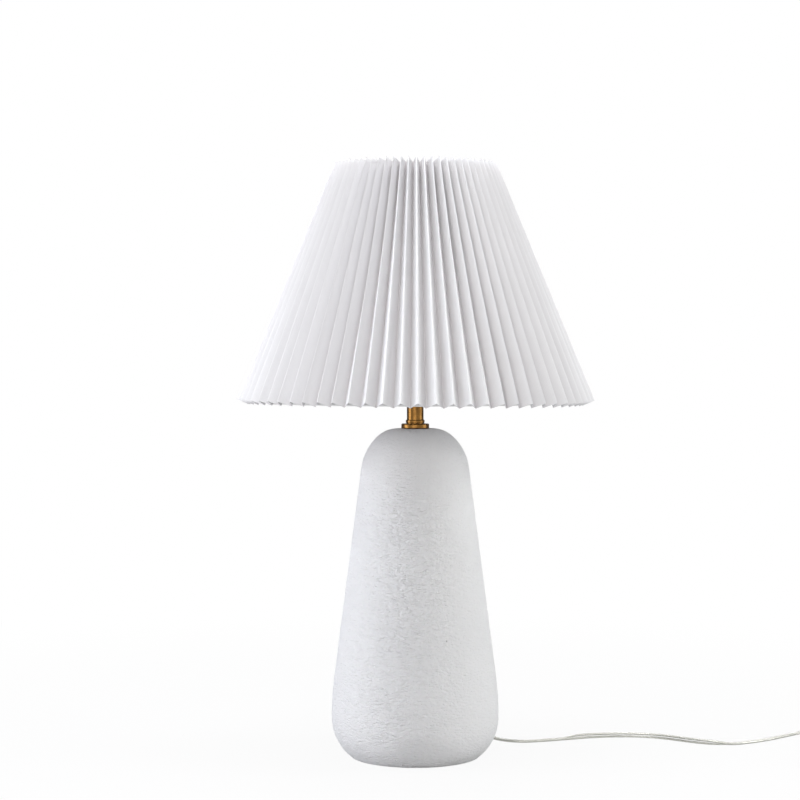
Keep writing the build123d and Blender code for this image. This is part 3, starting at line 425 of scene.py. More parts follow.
def apply_tree(piece, tree, **values):
    """Runs a node tree on a piece, with its named inputs set first."""
    modifier = piece.modifiers.new(tree.name, "NODES")
    modifier.node_group = tree
    for item in tree.interface.items_tree:
        key = item.name.replace(" ", "_").lower()
        if item.in_out == "INPUT" and key in values:
            modifier[item.identifier] = values[key]
    apply_modifiers(piece)


def split_place(place):
    """The three numbers of a place, by the names of their axes."""
    return add_node(tree_of(place), "ShaderNodeSeparateXYZ", {0: place}).outputs


def join_place(x, y, z):
    """A place from three numbers."""
    return add_node(tree_of(x, y, z), "ShaderNodeCombineXYZ", {"X": x, "Y": y, "Z": z}).outputs[0]


def stretched(place, scale):
    """A place whose axes are drawn out or drawn in, for a pattern that is longer one way."""
    return add_node(tree_of(place), "ShaderNodeMapping", {"Vector": place, "Scale": scale}).outputs[0]


def roughened(place, reach):
    """How rough the glaze is: most just left of the front's middle, less at the sides and on the crown."""
    parts = split_place(place)
    upwards = maths("MAXIMUM", maths("SUBTRACT", parts["Z"], rough_top), 0.0)
    sideways = maths("ABSOLUTE", maths("SUBTRACT", parts["X"], rough_middle))
    return ramp(maths("ADD", sideways, upwards), 0.0, reach, 1.0, smoothest, "SMOOTHSTEP")


# The glaze's lumps and wrinkles fade out at the foot and at the bolt hole.
tree, given, result = new_tree(
    "glaze_relief",
    "GeometryNodeTree",
    {
        "Geometry": "Geometry",
        "Lump Depth": 0.0,
        "Lump Size": 0.01,
        "Wrinkle Depth": 0.0,
        "Wrinkle Length": 0.006,
        "Wrinkle Width": 0.003,
        "Rough Reach": 0.06,
    },
    {"Geometry": "Geometry"},
)
place = add_node(tree, "GeometryNodeInputPosition").outputs[0]
lumps = noise_value(place, maths("DIVIDE", 1.0, given["Lump Size"]))
wrinkle_size = join_place(given["Wrinkle Length"], given["Wrinkle Length"], given["Wrinkle Width"])
wrinkles = noise_value(vector_maths("DIVIDE", place, wrinkle_size), scale=1.0, detail=0.5, distortion=0.4)
lump_rise = maths("MULTIPLY", maths("SUBTRACT", lumps, 0.5), given["Lump Depth"])
wrinkle_rise = maths("MULTIPLY", maths("SUBTRACT", wrinkles, 0.5), given["Wrinkle Depth"])
wrinkle_rise = maths("MULTIPLY", wrinkle_rise, roughened(place, given["Rough Reach"]))
glazed = add_node(tree, "GeometryNodeInputNamedAttribute", {"Name": "glazed"}, data_type="FLOAT").outputs[0]
rise = maths("MULTIPLY", maths("ADD", lump_rise, wrinkle_rise), glazed)
normal = add_node(tree, "GeometryNodeInputNormal").outputs[0]
offset = vector_maths("SCALE", normal, Scale=rise)
moved = add_node(tree, "GeometryNodeSetPosition", {"Geometry": given["Geometry"], "Offset": offset})
feed(result["Geometry"], moved.outputs[0])
apply_tree(
    ceramic_shell,
    tree,
    lump_depth=0.7 * MM,
    lump_size=16 * MM,
    wrinkle_depth=0.3 * MM,
    wrinkle_length=6.0 * MM,
    wrinkle_width=2.6 * MM,
    rough_reach=rough_reach,
)

# The flex's hole and its grommet's seat are bored square to the wall.
hole_tilt = math.asin((cord_hole_height - belly_height) / foot_arc_radius)
hole_way = Vector((0, math.cos(hole_tilt), math.sin(hole_tilt)))
hole_place = Vector((0, foot_centre[0] + foot_arc_radius * math.cos(hole_tilt), cord_hole_height))
hole_frame = Matrix.Translation(hole_place) @ hole_way.to_track_quat("Z", "Y").to_matrix().to_4x4()
drill_outline = [
    (0, -2 * body_wall),
    (cord_hole_radius, -2 * body_wall),
    (cord_hole_radius, -grommet_seat_depth),
    (grommet_seat_radius, -grommet_seat_depth),
    (grommet_seat_radius, body_wall),
    (0, body_wall),
]
drill_mesh = turned_mesh("drill", drill_outline, columns=64, ring=False)
drill_mesh.transform(hole_frame)
drill = new_object("drill", drill_mesh)
bore = ceramic_shell.modifiers.new("bore", "BOOLEAN")
bore.object = drill
bore.operation = "DIFFERENCE"
bore.solver = "EXACT"
apply_modifiers(ceramic_shell)
bpy.data.objects.remove(drill)
smooth(ceramic_shell.data, 45)

fine_wrinkle_scale = (250, 250, 620)
pinhole_scale = 34.0
pinhole_size = (0.012, 0.03)
glaze, tree, shader = new_material("matt_white_glaze", Specular_IOR_Level=0.35)
coords = object_place(tree)
fine_wrinkles = noise_value(stretched(coords, fine_wrinkle_scale), scale=1.0, detail=1.0, distortion=0.2)
fine_wrinkles = maths("MULTIPLY", fine_wrinkles, roughened(coords, rough_reach))
grain = noise_value(coords, scale=1500.0)
clouds = noise_value(coords, scale=22.0, detail=3.0)
pinholes = add_node(tree, "ShaderNodeTexVoronoi", {"Vector": coords, "Scale": pinhole_scale})
open_pits = ramp(pinholes.outputs["Distance"], *pinhole_size, 1.0, 0.0)
glaze_white = colour_mix(clouds, (0.872, 0.871, 0.875), (0.897, 0.895, 0.897))
feed(shader["Base Color"], colour_mix(open_pits, glaze_white, (0.58, 0.57, 0.56)))
feed(shader["Roughness"], maths("MULTIPLY_ADD", grain, 0.2, 0.62))
relief = maths("MULTIPLY_ADD", grain, 0.25, fine_wrinkles)
relief = maths("MULTIPLY_ADD", open_pits, -0.8, relief)
bump(shader, relief, strength=1.0, depth=3.4 * MM)
finish_piece(ceramic_shell, "lamp", glaze, ["ceramic_body"])


# Cord grommet: a clear nylon bush pressed into the hole at the back, so that the glaze's edge can't cut the
# flex. Its moulded face stands a little proud of the wall.
grain_tree, given, result = new_tree(
    "moulded_grain",
    "ShaderNodeTree",
    {"Scale": 900.0, "Flow": 60.0},
    {"Grain": "Float", "Flow Marks": "Float"},
)
coords = object_place(grain_tree)
feed(result["Grain"], noise_value(coords, given["Scale"], detail=3.0))
feed(result["Flow Marks"], noise_value(coords, given["Flow"], distortion=1.5))


def moulded(name, colour, deeper, roughness, scale=1400.0, depth=0.04 * MM, **values):
    """Moulded plastic: fine grain in its gloss and surface, and faint flow marks in its colour."""
    made, tree, shader = new_material(name, **values)
    marks = add_node(tree, "ShaderNodeGroup", {"Scale": scale}, node_tree=grain_tree).outputs
    feed(shader["Base Color"], colour_mix(marks["Flow Marks"], deeper, colour))
    feed(shader["Roughness"], maths("MULTIPLY_ADD", marks["Grain"], 0.14, roughness))
    bump(shader, marks["Grain"], strength=0.5, depth=depth)
    return made


def dress(material, *names):
    """Gives CAD nodes that are shown as they are their material."""
    for name in names:
        for slot in nodes[name].material_slots:
            slot.link = "OBJECT"
            slot.material = material


nylon = moulded("clear_nylon", (0.86, 0.86, 0.84), (0.78, 0.78, 0.76), 0.3, Subsurface_Weight=0.15)
dress(nylon, "cord_grommet")


# Bolt: a hollow threaded steel tube through the crown, pulled down by a nut inside the body on a steel washer
# and a rubber one. The steel is zinc plated, and the tube's M10 thread is rolled.
metal_tree, given, result = new_tree(
    "metal_wear",
    "ShaderNodeTree",
    {"Line Scale": 2500.0, "Patch Scale": 120.0},
    {"Lines": "Float", "Patches": "Float"},
)
coords = object_place(metal_tree)
round_lines = stretched(coords, (0.02, 0.02, 1.0))
feed(result["Lines"], noise_value(round_lines, given["Line Scale"], detail=3.0))
feed(result["Patches"], noise_value(coords, given["Patch Scale"], detail=4.0, distortion=0.8))


def turned_metal(name, bright, dull, roughness, lines=2500.0, patches=120.0):
    """Metal with fine lathe or rolling lines round Z, and dull patches in its colour and gloss."""
    made, tree, shader = new_material(name, Metallic=1.0)
    scales = {"Line Scale": lines, "Patch Scale": patches}
    wear = add_node(tree, "ShaderNodeGroup", scales, node_tree=metal_tree).outputs
    feed(shader["Base Color"], colour_mix(wear["Patches"], bright, dull))
    feed(shader["Roughness"], maths("MULTIPLY_ADD", wear["Patches"], 0.18, roughness))
    bump(shader, wear["Lines"], strength=0.6, depth=0.02 * MM)
    return made


zinc = turned_metal("zinc_plate", (0.62, 0.63, 0.66), (0.42, 0.43, 0.44), 0.26)
rubber = moulded("black_rubber", (0.022, 0.022, 0.022), (0.012, 0.012, 0.012), 0.72, scale=2200.0)
dress(zinc, "threaded_tube", "clamp_washer", "tube_nut")
dress(rubber, "rubber_washer")


# Brass neck: a flange, a grooved collar and a tube, turned from brass and brushed round. They are stacked on
# the threaded tube and held by the lampholder above.
brass = turned_metal(
    "brushed_brass", (0.27, 0.135, 0.035), (0.17, 0.085, 0.024), 0.2, lines=3000.0, patches=160.0
)
dress(brass, "brass_flange", "brass_collar", "neck_tube")


# Lampholder: a phenolic cap and threaded skirt round a steatite insert, which carries the screw shell, the
# centre contact and the terminal screws. A ribbed ring on the skirt's thread holds the shade's fitter down.
holder_radius = 20.0 * MM
holder_bore = 17.5 * MM
neck_top = 372.1 * MM
cap_top = neck_top + 24.0 * MM
skirt_top = cap_top + 40.0 * MM
shoulder_bottom = cap_top + 8.0 * MM
shoulder_top = shoulder_bottom + 3.0 * MM
shoulder_radius = 24.0 * MM
shoulder_edge = 0.4 * MM
skirt_clearance = 0.05 * MM
skirt_thread = {"pitch": 2.5 * MM, "depth": 0.9 * MM, "bottom": shoulder_top, "top": skirt_top}
skirt_rows = 96
thread_columns = 120


def cut_thread(mesh, pitch, depth, bottom, top, bore=0.0):
    """Sinks a round thread into what lies between two heights of a turned mesh, outside its smooth bore."""
    for vertex in mesh.vertices:
        x, y, z = vertex.co
        reach = math.hypot(x, y)
        if reach < bore + 0.1 * MM:
            continue
        runout = min(1, max(0, min(z - bottom, top - z) / (0.6 * pitch)))
        turn = z / pitch - math.atan2(y, x) / (2 * math.pi)
        sink = depth * runout * (0.5 - 0.5 * math.cos(2 * math.pi * turn))
        vertex.co.xy *= 1 - sink / reach


phenolic = moulded("black_phenolic", (0.028, 0.027, 0.026), (0.018, 0.018, 0.018), 0.3, scale=1100.0)
steatite = moulded("cream_steatite", (0.74, 0.72, 0.66), (0.66, 0.64, 0.58), 0.34, scale=700.0)
contact_brass = turned_metal("contact_brass", (0.78, 0.60, 0.30), (0.62, 0.45, 0.2), 0.22)
thread_rows = [shoulder_top + (skirt_top - shoulder_top) * row / skirt_rows for row in range(skirt_rows + 1)]
crest = holder_radius - skirt_clearance
skirt_section = (
    [(holder_bore, skirt_top), (holder_bore, cap_top), (crest, cap_top), (crest, shoulder_bottom)]
    + [(shoulder_radius - shoulder_edge, shoulder_bottom), (shoulder_radius, shoulder_bottom + shoulder_edge)]
    + [(shoulder_radius, shoulder_top - shoulder_edge), (shoulder_radius - shoulder_edge, shoulder_top)]
    + [(crest, z) for z in thread_rows]
)
skirt_mesh = turned_mesh("threaded_skirt", skirt_section, thread_columns)
cut_thread(skirt_mesh, **skirt_thread, bore=holder_bore)
smooth(skirt_mesh, 50)
finish_piece(new_object("threaded_skirt", skirt_mesh), "lamp", phenolic, ["holder_skirt"])
dress(phenolic, "holder_cap", "shade_ring")
dress(steatite, "holder_insert")
dress(contact_brass, "screw_shell", "centre_contact")
dress(zinc, "terminal_screws")


# Bulb: clear glass blown round a glass stem that carries four coated filaments on wire supports, in an
# aluminium screw cap with a black glass insulator and a soldered centre tip.
bulb_cap_bottom = 409.1 * MM
bulb_cap_top = 431.1 * MM
bulb_cap_radius = 13.1 * MM
bulb_cap_wall = 0.3 * MM
bulb_cap_taper = 3.0 * MM
bulb_cap_taper_radius = 11.0 * MM
cap_thread = {
    "pitch": 3.6 * MM,
    "depth": 1.0 * MM,
    "bottom": bulb_cap_bottom + 2.2 * MM,
    "top": bulb_cap_top - 2.4 * MM,
}
cap_rows = 76

glass, tree, shader = new_material("clear_bulb_glass", Transmission_Weight=1.0, IOR=1.46, Roughness=0.02)
smears = noise_value(object_place(tree), scale=35.0, detail=3.0, distortion=1.0)
feed(shader["Base Color"], colour_mix(smears, (0.95, 0.96, 0.955), (0.985, 0.99, 0.985)))
aluminium = turned_metal("rolled_aluminium", (0.76, 0.77, 0.78), (0.6, 0.61, 0.62), 0.28)
black_glass = moulded("black_insulator_glass", (0.012, 0.012, 0.016), (0.02, 0.02, 0.024), 0.12)
solder = turned_metal("solder", (0.62, 0.6, 0.56), (0.46, 0.45, 0.42), 0.3, lines=800.0, patches=400.0)
phosphor = moulded("yellow_phosphor", (0.86, 0.53, 0.07), (0.8, 0.46, 0.05), 0.55, scale=3000.0)

cap_start = bulb_cap_bottom + bulb_cap_taper
cap_span = bulb_cap_top - cap_start
cap_line = [(bulb_cap_taper_radius, bulb_cap_bottom)]
cap_line += [(bulb_cap_radius, cap_start + cap_span * row / cap_rows) for row in range(cap_rows + 1)]
cap_section = cap_line + [(r - bulb_cap_wall, z) for r, z in reversed(cap_line)]
cap_mesh = turned_mesh("bulb_screw_cap", cap_section, thread_columns)
cut_thread(cap_mesh, **cap_thread)
smooth(cap_mesh, 60)
finish_piece(new_object("bulb_screw_cap", cap_mesh), "bulb", aluminium, ["bulb_cap"])
dress(glass, "bulb_glass", "bulb_stem")
dress(black_glass, "bulb_insulator")
dress(solder, "bulb_tip")
dress(zinc, "filament_supports")
dress(phosphor, "bulb_filaments")


# Shade frame: two wire rings, three arms and a pressed fitter, welded and dipped in white epoxy. The rings
# lie behind the folds, just inside the shade's two cut rims.
epoxy = moulded("white_epoxy", (0.82, 0.82, 0.81), (0.76, 0.76, 0.75), 0.32, scale=1000.0)
dress(epoxy, "shade_bottom_ring", "shade_top_ring", "shade_fitter", "shade_arms")


# Pleated shade: one strip of white cloth on card, scored and folded into 68 pleats, bent round into a cone
# and glued behind the folds to the two rings. No two folds are quite alike, the panels bow a little, and the
# lower rim was glued a little higher on one side.
pleat_count = 68
pleat_turn = math.radians(0.47)
panel_width = 14.3 * MM
card_thickness = 0.5 * MM
outer_bottom = Vector((175.0, 0, 349.4)) * MM
outer_top = Vector((79.5, 0, 580.4)) * MM
half_pleat = math.pi / pleat_count
shade_slope = math.atan2(outer_bottom.x - outer_top.x, outer_top.z - outer_bottom.z)
inwards = Vector((-math.cos(shade_slope), 0, -math.sin(shade_slope)))


def pleat_depth(radius):
    """How far a panel of full width reaches in behind an outer fold at this radius."""
    return math.sqrt(panel_width**2 - (radius * math.sin(half_pleat)) ** 2)


def card_wall(radius):
    """How far in the card's inner face is at a fold, where the card meets itself at the fold's angle."""
    half_fold = math.atan2(radius * math.sin(half_pleat), pleat_depth(radius) * math.cos(shade_slope))
    return inwards * (card_thickness * math.cos(shade_slope) / math.sin(half_fold))


tree, given, result = new_tree(
    "pleats",
    "GeometryNodeTree",
    {
        "Geometry": "Geometry",
        "Pleats": 68,
        "Panel Steps": 10,
        "Height Steps": 10,
        "Panel Width": 0.0143,
        "Slant": 0.25,
        "Outer Bottom": "Vector",
        "Outer Top": "Vector",
        "Inner Bottom": "Vector",
        "Inner Top": "Vector",
        "Wall Bottom": "Vector",
        "Wall Top": "Vector",
        "Turn": 0.0,
        "Crease": 0.0,
        "Crease Depth": 0.0,
        "Unevenness": 0.0,
        "Bow": 0.0,
        "Hem Rise": 0.0,
        "Hem Sway": 0.0,
        "Hem Bearing": 0.0,
        "Seed": 0,
        "Material": "Material",
    },
    {"Geometry": "Geometry"},
)
folds = maths("MULTIPLY", given["Pleats"], 2.0)
columns = maths("MULTIPLY_ADD", folds, given["Panel Steps"], 1.0)
section_steps = maths("MULTIPLY_ADD", given["Height Steps"], 2.0, 2.0)
rows = maths("ADD", section_steps, 1.0)
grid_size = {"Size X": 1.0, "Size Y": 1.0, "Vertices X": columns, "Vertices Y": rows}
grid = add_node(tree, "GeometryNodeMeshGrid", grid_size).outputs[0]
where = split_place(add_node(tree, "GeometryNodeInputPosition").outputs[0])
fold = maths("MULTIPLY", maths("ADD", where["X"], 0.5), folds)
step = maths("MULTIPLY", maths("ADD", where["Y"], 0.5), section_steps)

# The section goes up the outer face, over the top rim, down the inner face and back under the bottom rim.
top_rim = maths("ADD", given["Height Steps"], 0.5)
bottom_rim = maths("ADD", top_rim, maths("ADD", given["Height Steps"], 1.0))
past_top = maths("GREATER_THAN", step, top_rim)
past_bottom = maths("GREATER_THAN", step, bottom_rim)
inside = maths("SUBTRACT", past_top, past_bottom)
up_share = maths("DIVIDE", step, given["Height Steps"])
back_down = maths("SUBTRACT", step, maths("ADD", given["Height Steps"], 1.0))
down_share = maths("SUBTRACT", 1.0, maths("DIVIDE", back_down, given["Height Steps"]))
on_outer = maths("MULTIPLY", up_share, maths("SUBTRACT", 1.0, past_top))
along = maths("MULTIPLY_ADD", down_share, inside, on_outer)

# Across a panel the steps are closer near the folds, which are rounded.
across = maths("MULTIPLY", maths("PINGPONG", fold, 1.0), math.pi)
across = maths("MULTIPLY_ADD", maths("COSINE", across), -0.5, 0.5)


def fold_number(rounding, offset):
    """The number of the outer or inner fold that bounds the panel, counted once round."""
    half = maths(rounding, maths("DIVIDE", fold, 2.0))
    return maths("MULTIPLY_ADD", half, 2.0, offset)


def random_step(count, seed):
    """A random number from -1 to 1 for a fold or panel of this number, the same where the strip closes."""
    settled = maths("FLOORED_MODULO", count, folds)
    seed_value = maths("ADD", given["Seed"], float(seed))
    values = {2: -1.0, 3: 1.0, "ID": settled, "Seed": seed_value}
    return add_node(tree, "FunctionNodeRandomValue", values, data_type="FLOAT").outputs[1]


def blend_along(first, second):
    """A number that runs from its value at the bottom rim to its value at the top rim."""
    return maths("MULTIPLY_ADD", maths("SUBTRACT", second, first), along, first)


panel = maths("FLOOR", fold)
bowing = maths("SINE", maths("MULTIPLY", across, math.pi))
bow = maths("MULTIPLY", maths("MULTIPLY", bowing, random_step(panel, 7)), given["Bow"])


def between(share, first, second):
    """A place between two places."""
    values = {0: share, 4: first, 5: second}
    return add_node(tree_of(share), "ShaderNodeMix", values, data_type="VECTOR").outputs[1]


def fold_point(count, edge, crease_side, seed):
    """The point on a fold's line at this share of its length, for the outer or the inner edge of a panel."""
    uneven = blend_along(random_step(count, seed), random_step(count, seed + 1))
    swung = maths("ADD", maths("MULTIPLY_ADD", uneven, given["Unevenness"], bow), count)
    angle = maths("MULTIPLY_ADD", swung, maths("DIVIDE", 2 * math.pi, folds), given["Turn"])
    bearing = maths("SUBTRACT", angle, given["Hem Bearing"])
    hem = maths("MULTIPLY_ADD", maths("COSINE", bearing), given["Hem Sway"], given["Hem Rise"])
    reach = blend_along(maths("DIVIDE", hem, given["Slant"]), 1.0)
    line = between(reach, given[edge + " Bottom"], given[edge + " Top"])
    wall = between(along, given["Wall Bottom"], given["Wall Top"])
    parts = split_place(vector_maths("ADD", line, vector_maths("SCALE", wall, Scale=inside)))
    from_fold = across if crease_side < 0 else maths("SUBTRACT", 1.0, across)
    nearness = maths("SUBTRACT", 1.0, maths("DIVIDE", from_fold, given["Crease"]))
    nearness = maths("MAXIMUM", nearness, 0.0)
    soften = maths("MULTIPLY", maths("MULTIPLY", nearness, nearness), given["Crease Depth"])
    radius = maths("MULTIPLY_ADD", soften, float(crease_side), parts["X"])
    x = maths("MULTIPLY", radius, maths("COSINE", angle))
    y = maths("MULTIPLY", radius, maths("SINE", angle))
    return join_place(x, y, parts["Z"])


outer_point = fold_point(fold_number("ROUND", 0.0), "Outer", -1, 1)
inner_point = fold_point(fold_number("FLOOR", 1.0), "Inner", 1, 3)
spot = between(across, outer_point, inner_point)
cloth_across = maths("MULTIPLY", fold, given["Panel Width"])
cloth_up = maths("MULTIPLY", along, given["Slant"])
values = {"Geometry": grid, "Name": "cloth", "Value": join_place(cloth_across, cloth_up, 0.0)}
marked = add_node(tree, "GeometryNodeStoreNamedAttribute", values, data_type="FLOAT2", domain="CORNER")
folded = add_node(tree, "GeometryNodeSetPosition", {"Geometry": marked.outputs[0], "Position": spot})
values = {"Geometry": folded.outputs[0], "Distance": 0.01 * MM}
closed = add_node(tree, "GeometryNodeMergeByDistance", values)
real = add_node(tree, "GeometryNodeRealizeInstances", {"Geometry": closed.outputs[0]})
values = {"Geometry": real.outputs[0], "Material": given["Material"]}
feed(result["Geometry"], add_node(tree, "GeometryNodeSetMaterial", values).outputs[0])
pleat_tree = tree

weave_scale = (2200, 2600, 1)
slub_scale = (300, 60, 1)
cloth, tree, shader = new_material(
    "white_shade_cloth", Roughness=0.92, Sheen_Weight=0.06, Specular_IOR_Level=0.25
)
cloth_place = add_node(tree, "ShaderNodeUVMap", uv_map="cloth").outputs[0]
strands = {"Vector": stretched(cloth_place, weave_scale), "Scale": 0.16, "Distortion": 0.6}
warp = add_node(tree, "ShaderNodeTexWave", strands, bands_direction="X").outputs["Fac"]
weft = add_node(tree, "ShaderNodeTexWave", strands, bands_direction="Y").outputs["Fac"]
slubs = noise_value(stretched(cloth_place, slub_scale), scale=1.0, detail=3.0)
woven = maths("MULTIPLY_ADD", slubs, 1.5, maths("ADD", warp, weft))
shade_white = colour_mix(slubs, (0.757, 0.759, 0.764), (0.787, 0.788, 0.791))
# Painted shade: the cloth's colour darkens from each outer fold towards the inner fold, where the pleats
# shade each other, to a slightly pink grey.
from_outer = maths("PINGPONG", maths("DIVIDE", split_place(cloth_place)["X"], panel_width), 1.0)
painted_fold_shade = maths("POWER", from_outer, 1.6)
feed(shader["Base Color"], colour_mix(painted_fold_shade, shade_white, (0.58, 0.564, 0.569)))
bump(shader, woven, strength=0.25, depth=0.12 * MM)

slant_length = (outer_top - outer_bottom).length
shade = new_object("pleated_cloth", bpy.data.meshes.new("pleated_cloth"))
apply_tree(
    shade,
    pleat_tree,
    pleats=pleat_count,
    panel_steps=10,
    height_steps=10,
    panel_width=panel_width,
    slant=slant_length,
    outer_bottom=outer_bottom,
    outer_top=outer_top,
    inner_bottom=outer_bottom + inwards * pleat_depth(outer_bottom.x),
    inner_top=outer_top + inwards * pleat_depth(outer_top.x),
    wall_bottom=card_wall(outer_bottom.x),
    wall_top=card_wall(outer_top.x),
    turn=pleat_turn,
    crease=0.075,
    crease_depth=0.4 * MM,
    unevenness=0.09,
    bow=0.05,
    hem_rise=0.3 * MM,
    hem_sway=1.6 * MM,
    hem_bearing=math.radians(-140.0),
    seed=5,
    material=cloth,
)
smooth(shade.data, 62)
finish_piece(shade, "shade", cloth, ["pleated_shade"])


# Flex: a flat twin flex, two stranded conductors side by side in clear soft PVC, 5.4 mm wide. It comes down
# inside the body from the lampholder and leaves through the grommet, and it lies flat or on edge as it turns.
flex_thickness = 2.7 * MM
flex_waist = 1.9 * MM
core_radius = 0.85 * MM
cord_exit = hole_place + hole_way * (2.2 * MM - grommet_seat_depth)
cord_straight = 22.0 * MM
floor_level = 2.7 * MM
lift_fade = 4.0 * MM
switch_place = Vector((458.0, 51.0, 0)) * MM
switch_split = 7.5 * MM
switch_face = 24.35 * MM
switch_in = switch_place + Vector((0, switch_face, switch_split))
switch_out = switch_place + Vector((0, -switch_face, switch_split))


def metres(*points):
    """These points, given in millimetres, as vectors in metres."""
    return [Vector(point) * MM for point in points]


table_route = [
    cord_exit,
    cord_exit + hole_way * cord_straight,
    *metres(
        (11, 120, 3.2),
        (38, 131, 2.7),
        (66, 119, 2.7),
        (76, 96, 2.7),
        (84.5, 74, 2.7),
        (107, 61.5, 2.7),
        (137, 70.5, 2.7),
        (172, 84, 2.7),
        (212, 92, 2.7),
        (250, 85, 2.7),
        (282, 59, 2.7),
        (312, 46, 2.7),
        (352, 66, 2.7),
        (385, 95.5, 2.7),
        (414, 121.9, 2.7),
        (440, 120.5, 2.9),
        (458, 101, 7.5),
    ),
    switch_in,
]
inner_route = [
    cord_exit,
    cord_exit - hole_way * cord_straight,
    *metres((0, 33, 52), (0, 14, 100), (0, 3, 170), (0, 0, 250), (0, 0, 386.1)),
]


def route_points(name, route, resolution=12):
    """The points of one smooth curve with the route's points as its control points."""
    curve = bpy.data.curves.new(name, "CURVE")
    curve.dimensions = "3D"
    curve.resolution_u = resolution
    spline = curve.splines.new("NURBS")
    spline.points.add(len(route) - 1)
    for point, place in zip(spline.points, route):
        point.co = (*place, 1)
    spline.order_u = 3
    spline.use_endpoint_u = True
    line = new_object(name, curve)
    made = evaluated_mesh(line)
    points = [vertex.co.copy() for vertex in made.vertices]
    bpy.data.objects.remove(line)
    bpy.data.meshes.remove(made)
    return points


def eased(value, start, end):
    """0 before start, 1 after end and smooth between them."""
    share = min(1, max(0, (value - start) / (end - start)))
    return share * share * (3 - 2 * share)


def flex_rolls(points, stations, measure):
    """How far the flex has rolled over at each point, from (measure, degrees) stations. On edge it's 90."""
    rolls = []
    for at, point in enumerate(points):
        value = measure(at, point)
        roll = stations[-1][1]
        for (m0, r0), (m1, r1) in zip(stations, stations[1:]):
            if value <= m1:
                roll = r0 + (r1 - r0) * eased(value, m0, m1)
                break
        rolls.append(math.radians(roll))
    return rolls


def settle_flex(points, rolls):
    """Lets the flex down by what its roll leaves under it, where it lies on the table."""
    settled = []
    for point, roll in zip(points, rolls):
        half_height = flex_thickness / 2 * (1 + abs(math.sin(roll)))
        lying = min(1, max(0, 1 - (point.z - floor_level) / lift_fade))
        settled.append(point - Vector((0, 0, (floor_level - half_height) * lying)))
    return settled


def ways_along(points):
    """The way along a line at each of its points."""
    before, after = points[:1] + points[:-1], points[1:] + points[-1:]
    return [(b - a).normalized() for a, b in zip(before, after)]


def frames_along(points, rolls):
    """At each point, the way along the flex, the way across both cores and the way square to them."""
    found = []
    for way, roll in zip(ways_along(points), rolls):
        level = Vector((0, 0, 1)).cross(way)
        level = level.normalized() if level.length > 0.05 else found[-1][1]
        rise = way.cross(level)
        across_way = level * math.cos(roll) + rise * math.sin(roll)
        square_way = rise * math.cos(roll) - level * math.sin(roll)
        found.append((way, across_way, square_way))
    return found


def sweep(builder, points, frames, section):
    """Adds a closed tube with flat ends to a bmesh. The section gives its (across, square) points by step."""
    rings = []
    for i, (point, (way, across_way, square_way)) in enumerate(zip(points, frames)):
        rings.append([builder.verts.new(point + across_way * a + square_way * b) for a, b in section(i)])
    for low, high in zip(rings, rings[1:]):
        for k in range(len(low)):
            n = (k + 1) % len(low)
            builder.faces.new((low[k], low[n], high[n], high[k]))
    builder.faces.new(rings[0][::-1])
    builder.faces.new(rings[-1])


def mesh_from(name, builder, angle=60):
    """A smooth plain mesh from a bmesh, with its faces turned outwards."""
    bmesh.ops.recalc_face_normals(builder, faces=builder.faces)
    mesh = bpy.data.meshes.new(name)
    builder.to_mesh(mesh)
    builder.free()
    smooth(mesh, angle)
    return mesh


lobe = flex_thickness / 2
waist_angle = math.pi - math.asin(flex_waist / flex_thickness)
lobe_steps = [waist_angle * (2 * k / 8 - 1) for k in range(9)]
jacket_section = [(lobe + lobe * math.cos(a), lobe * math.sin(a)) for a in lobe_steps]
jacket_section += [(-x, -y) for x, y in jacket_section]
core_strands = 7
core_steps = 21
core_ridge = 0.07
core_twist = 0.35


def core_section(side):
    """The outline of a bundle of strands that twists on its way along the flex."""

    def outline(i):
        angles = [2 * math.pi * k / core_steps for k in range(core_steps)]
        ridges = [core_ridge * math.cos(core_strands * (a + i * core_twist)) for a in angles]
        reaches = [core_radius * (1 - core_ridge + ridge) for ridge in ridges]
        return [(side * lobe + r * math.cos(a), r * math.sin(a)) for a, r in zip(angles, reaches)]

    return outline


pvc, tree, shader = new_material("clear_soft_pvc", Transmission_Weight=1.0, IOR=1.5)
haze = noise_value(object_place(tree), scale=700.0, detail=3.0)
feed(shader["Base Color"], colour_mix(haze, (0.93, 0.93, 0.90), (0.97, 0.97, 0.955)))
feed(shader["Roughness"], maths("MULTIPLY_ADD", haze, 0.15, 0.08))
tinned = turned_metal(
    "tinned_strands", (0.60, 0.60, 0.56), (0.45, 0.45, 0.42), 0.3, lines=900.0, patches=500.0
)


def make_flex(name, points, rolls, replaced):
    """The clear jacket and the two stranded cores of a stretch of flex, on the lamp's body."""
    frames = frames_along(points, rolls)
    jacket = bmesh.new()
    sweep(jacket, points, frames, lambda i: jacket_section)
    cores = bmesh.new()
    for side in (-1, 1):
        sweep(cores, points[1:-1], frames[1:-1], core_section(side))
    jacket_piece = new_object(name, mesh_from(name, jacket))
    cores_piece = new_object(name + "_cores", mesh_from(name + "_cores", cores))
    finish_piece(cores_piece, "lamp", tinned)
    return finish_piece(jacket_piece, "lamp", pvc, replaced)


inner_points = route_points("inner_route", inner_route)
make_flex("flex_in_body", inner_points, [0.0] * len(inner_points), ["inner_flex"])

table_points = route_points("table_route", table_route)
table_stations = [(0.150, 0), (0.180, 90), (0.290, 90), (0.322, 180)]
table_rolls = flex_rolls(table_points, table_stations, lambda at, point: point.x)
table_points = settle_flex(table_points, table_rolls)
flex_to_switch = make_flex("flex_to_switch", table_points, table_rolls, ["cord_on_table"])


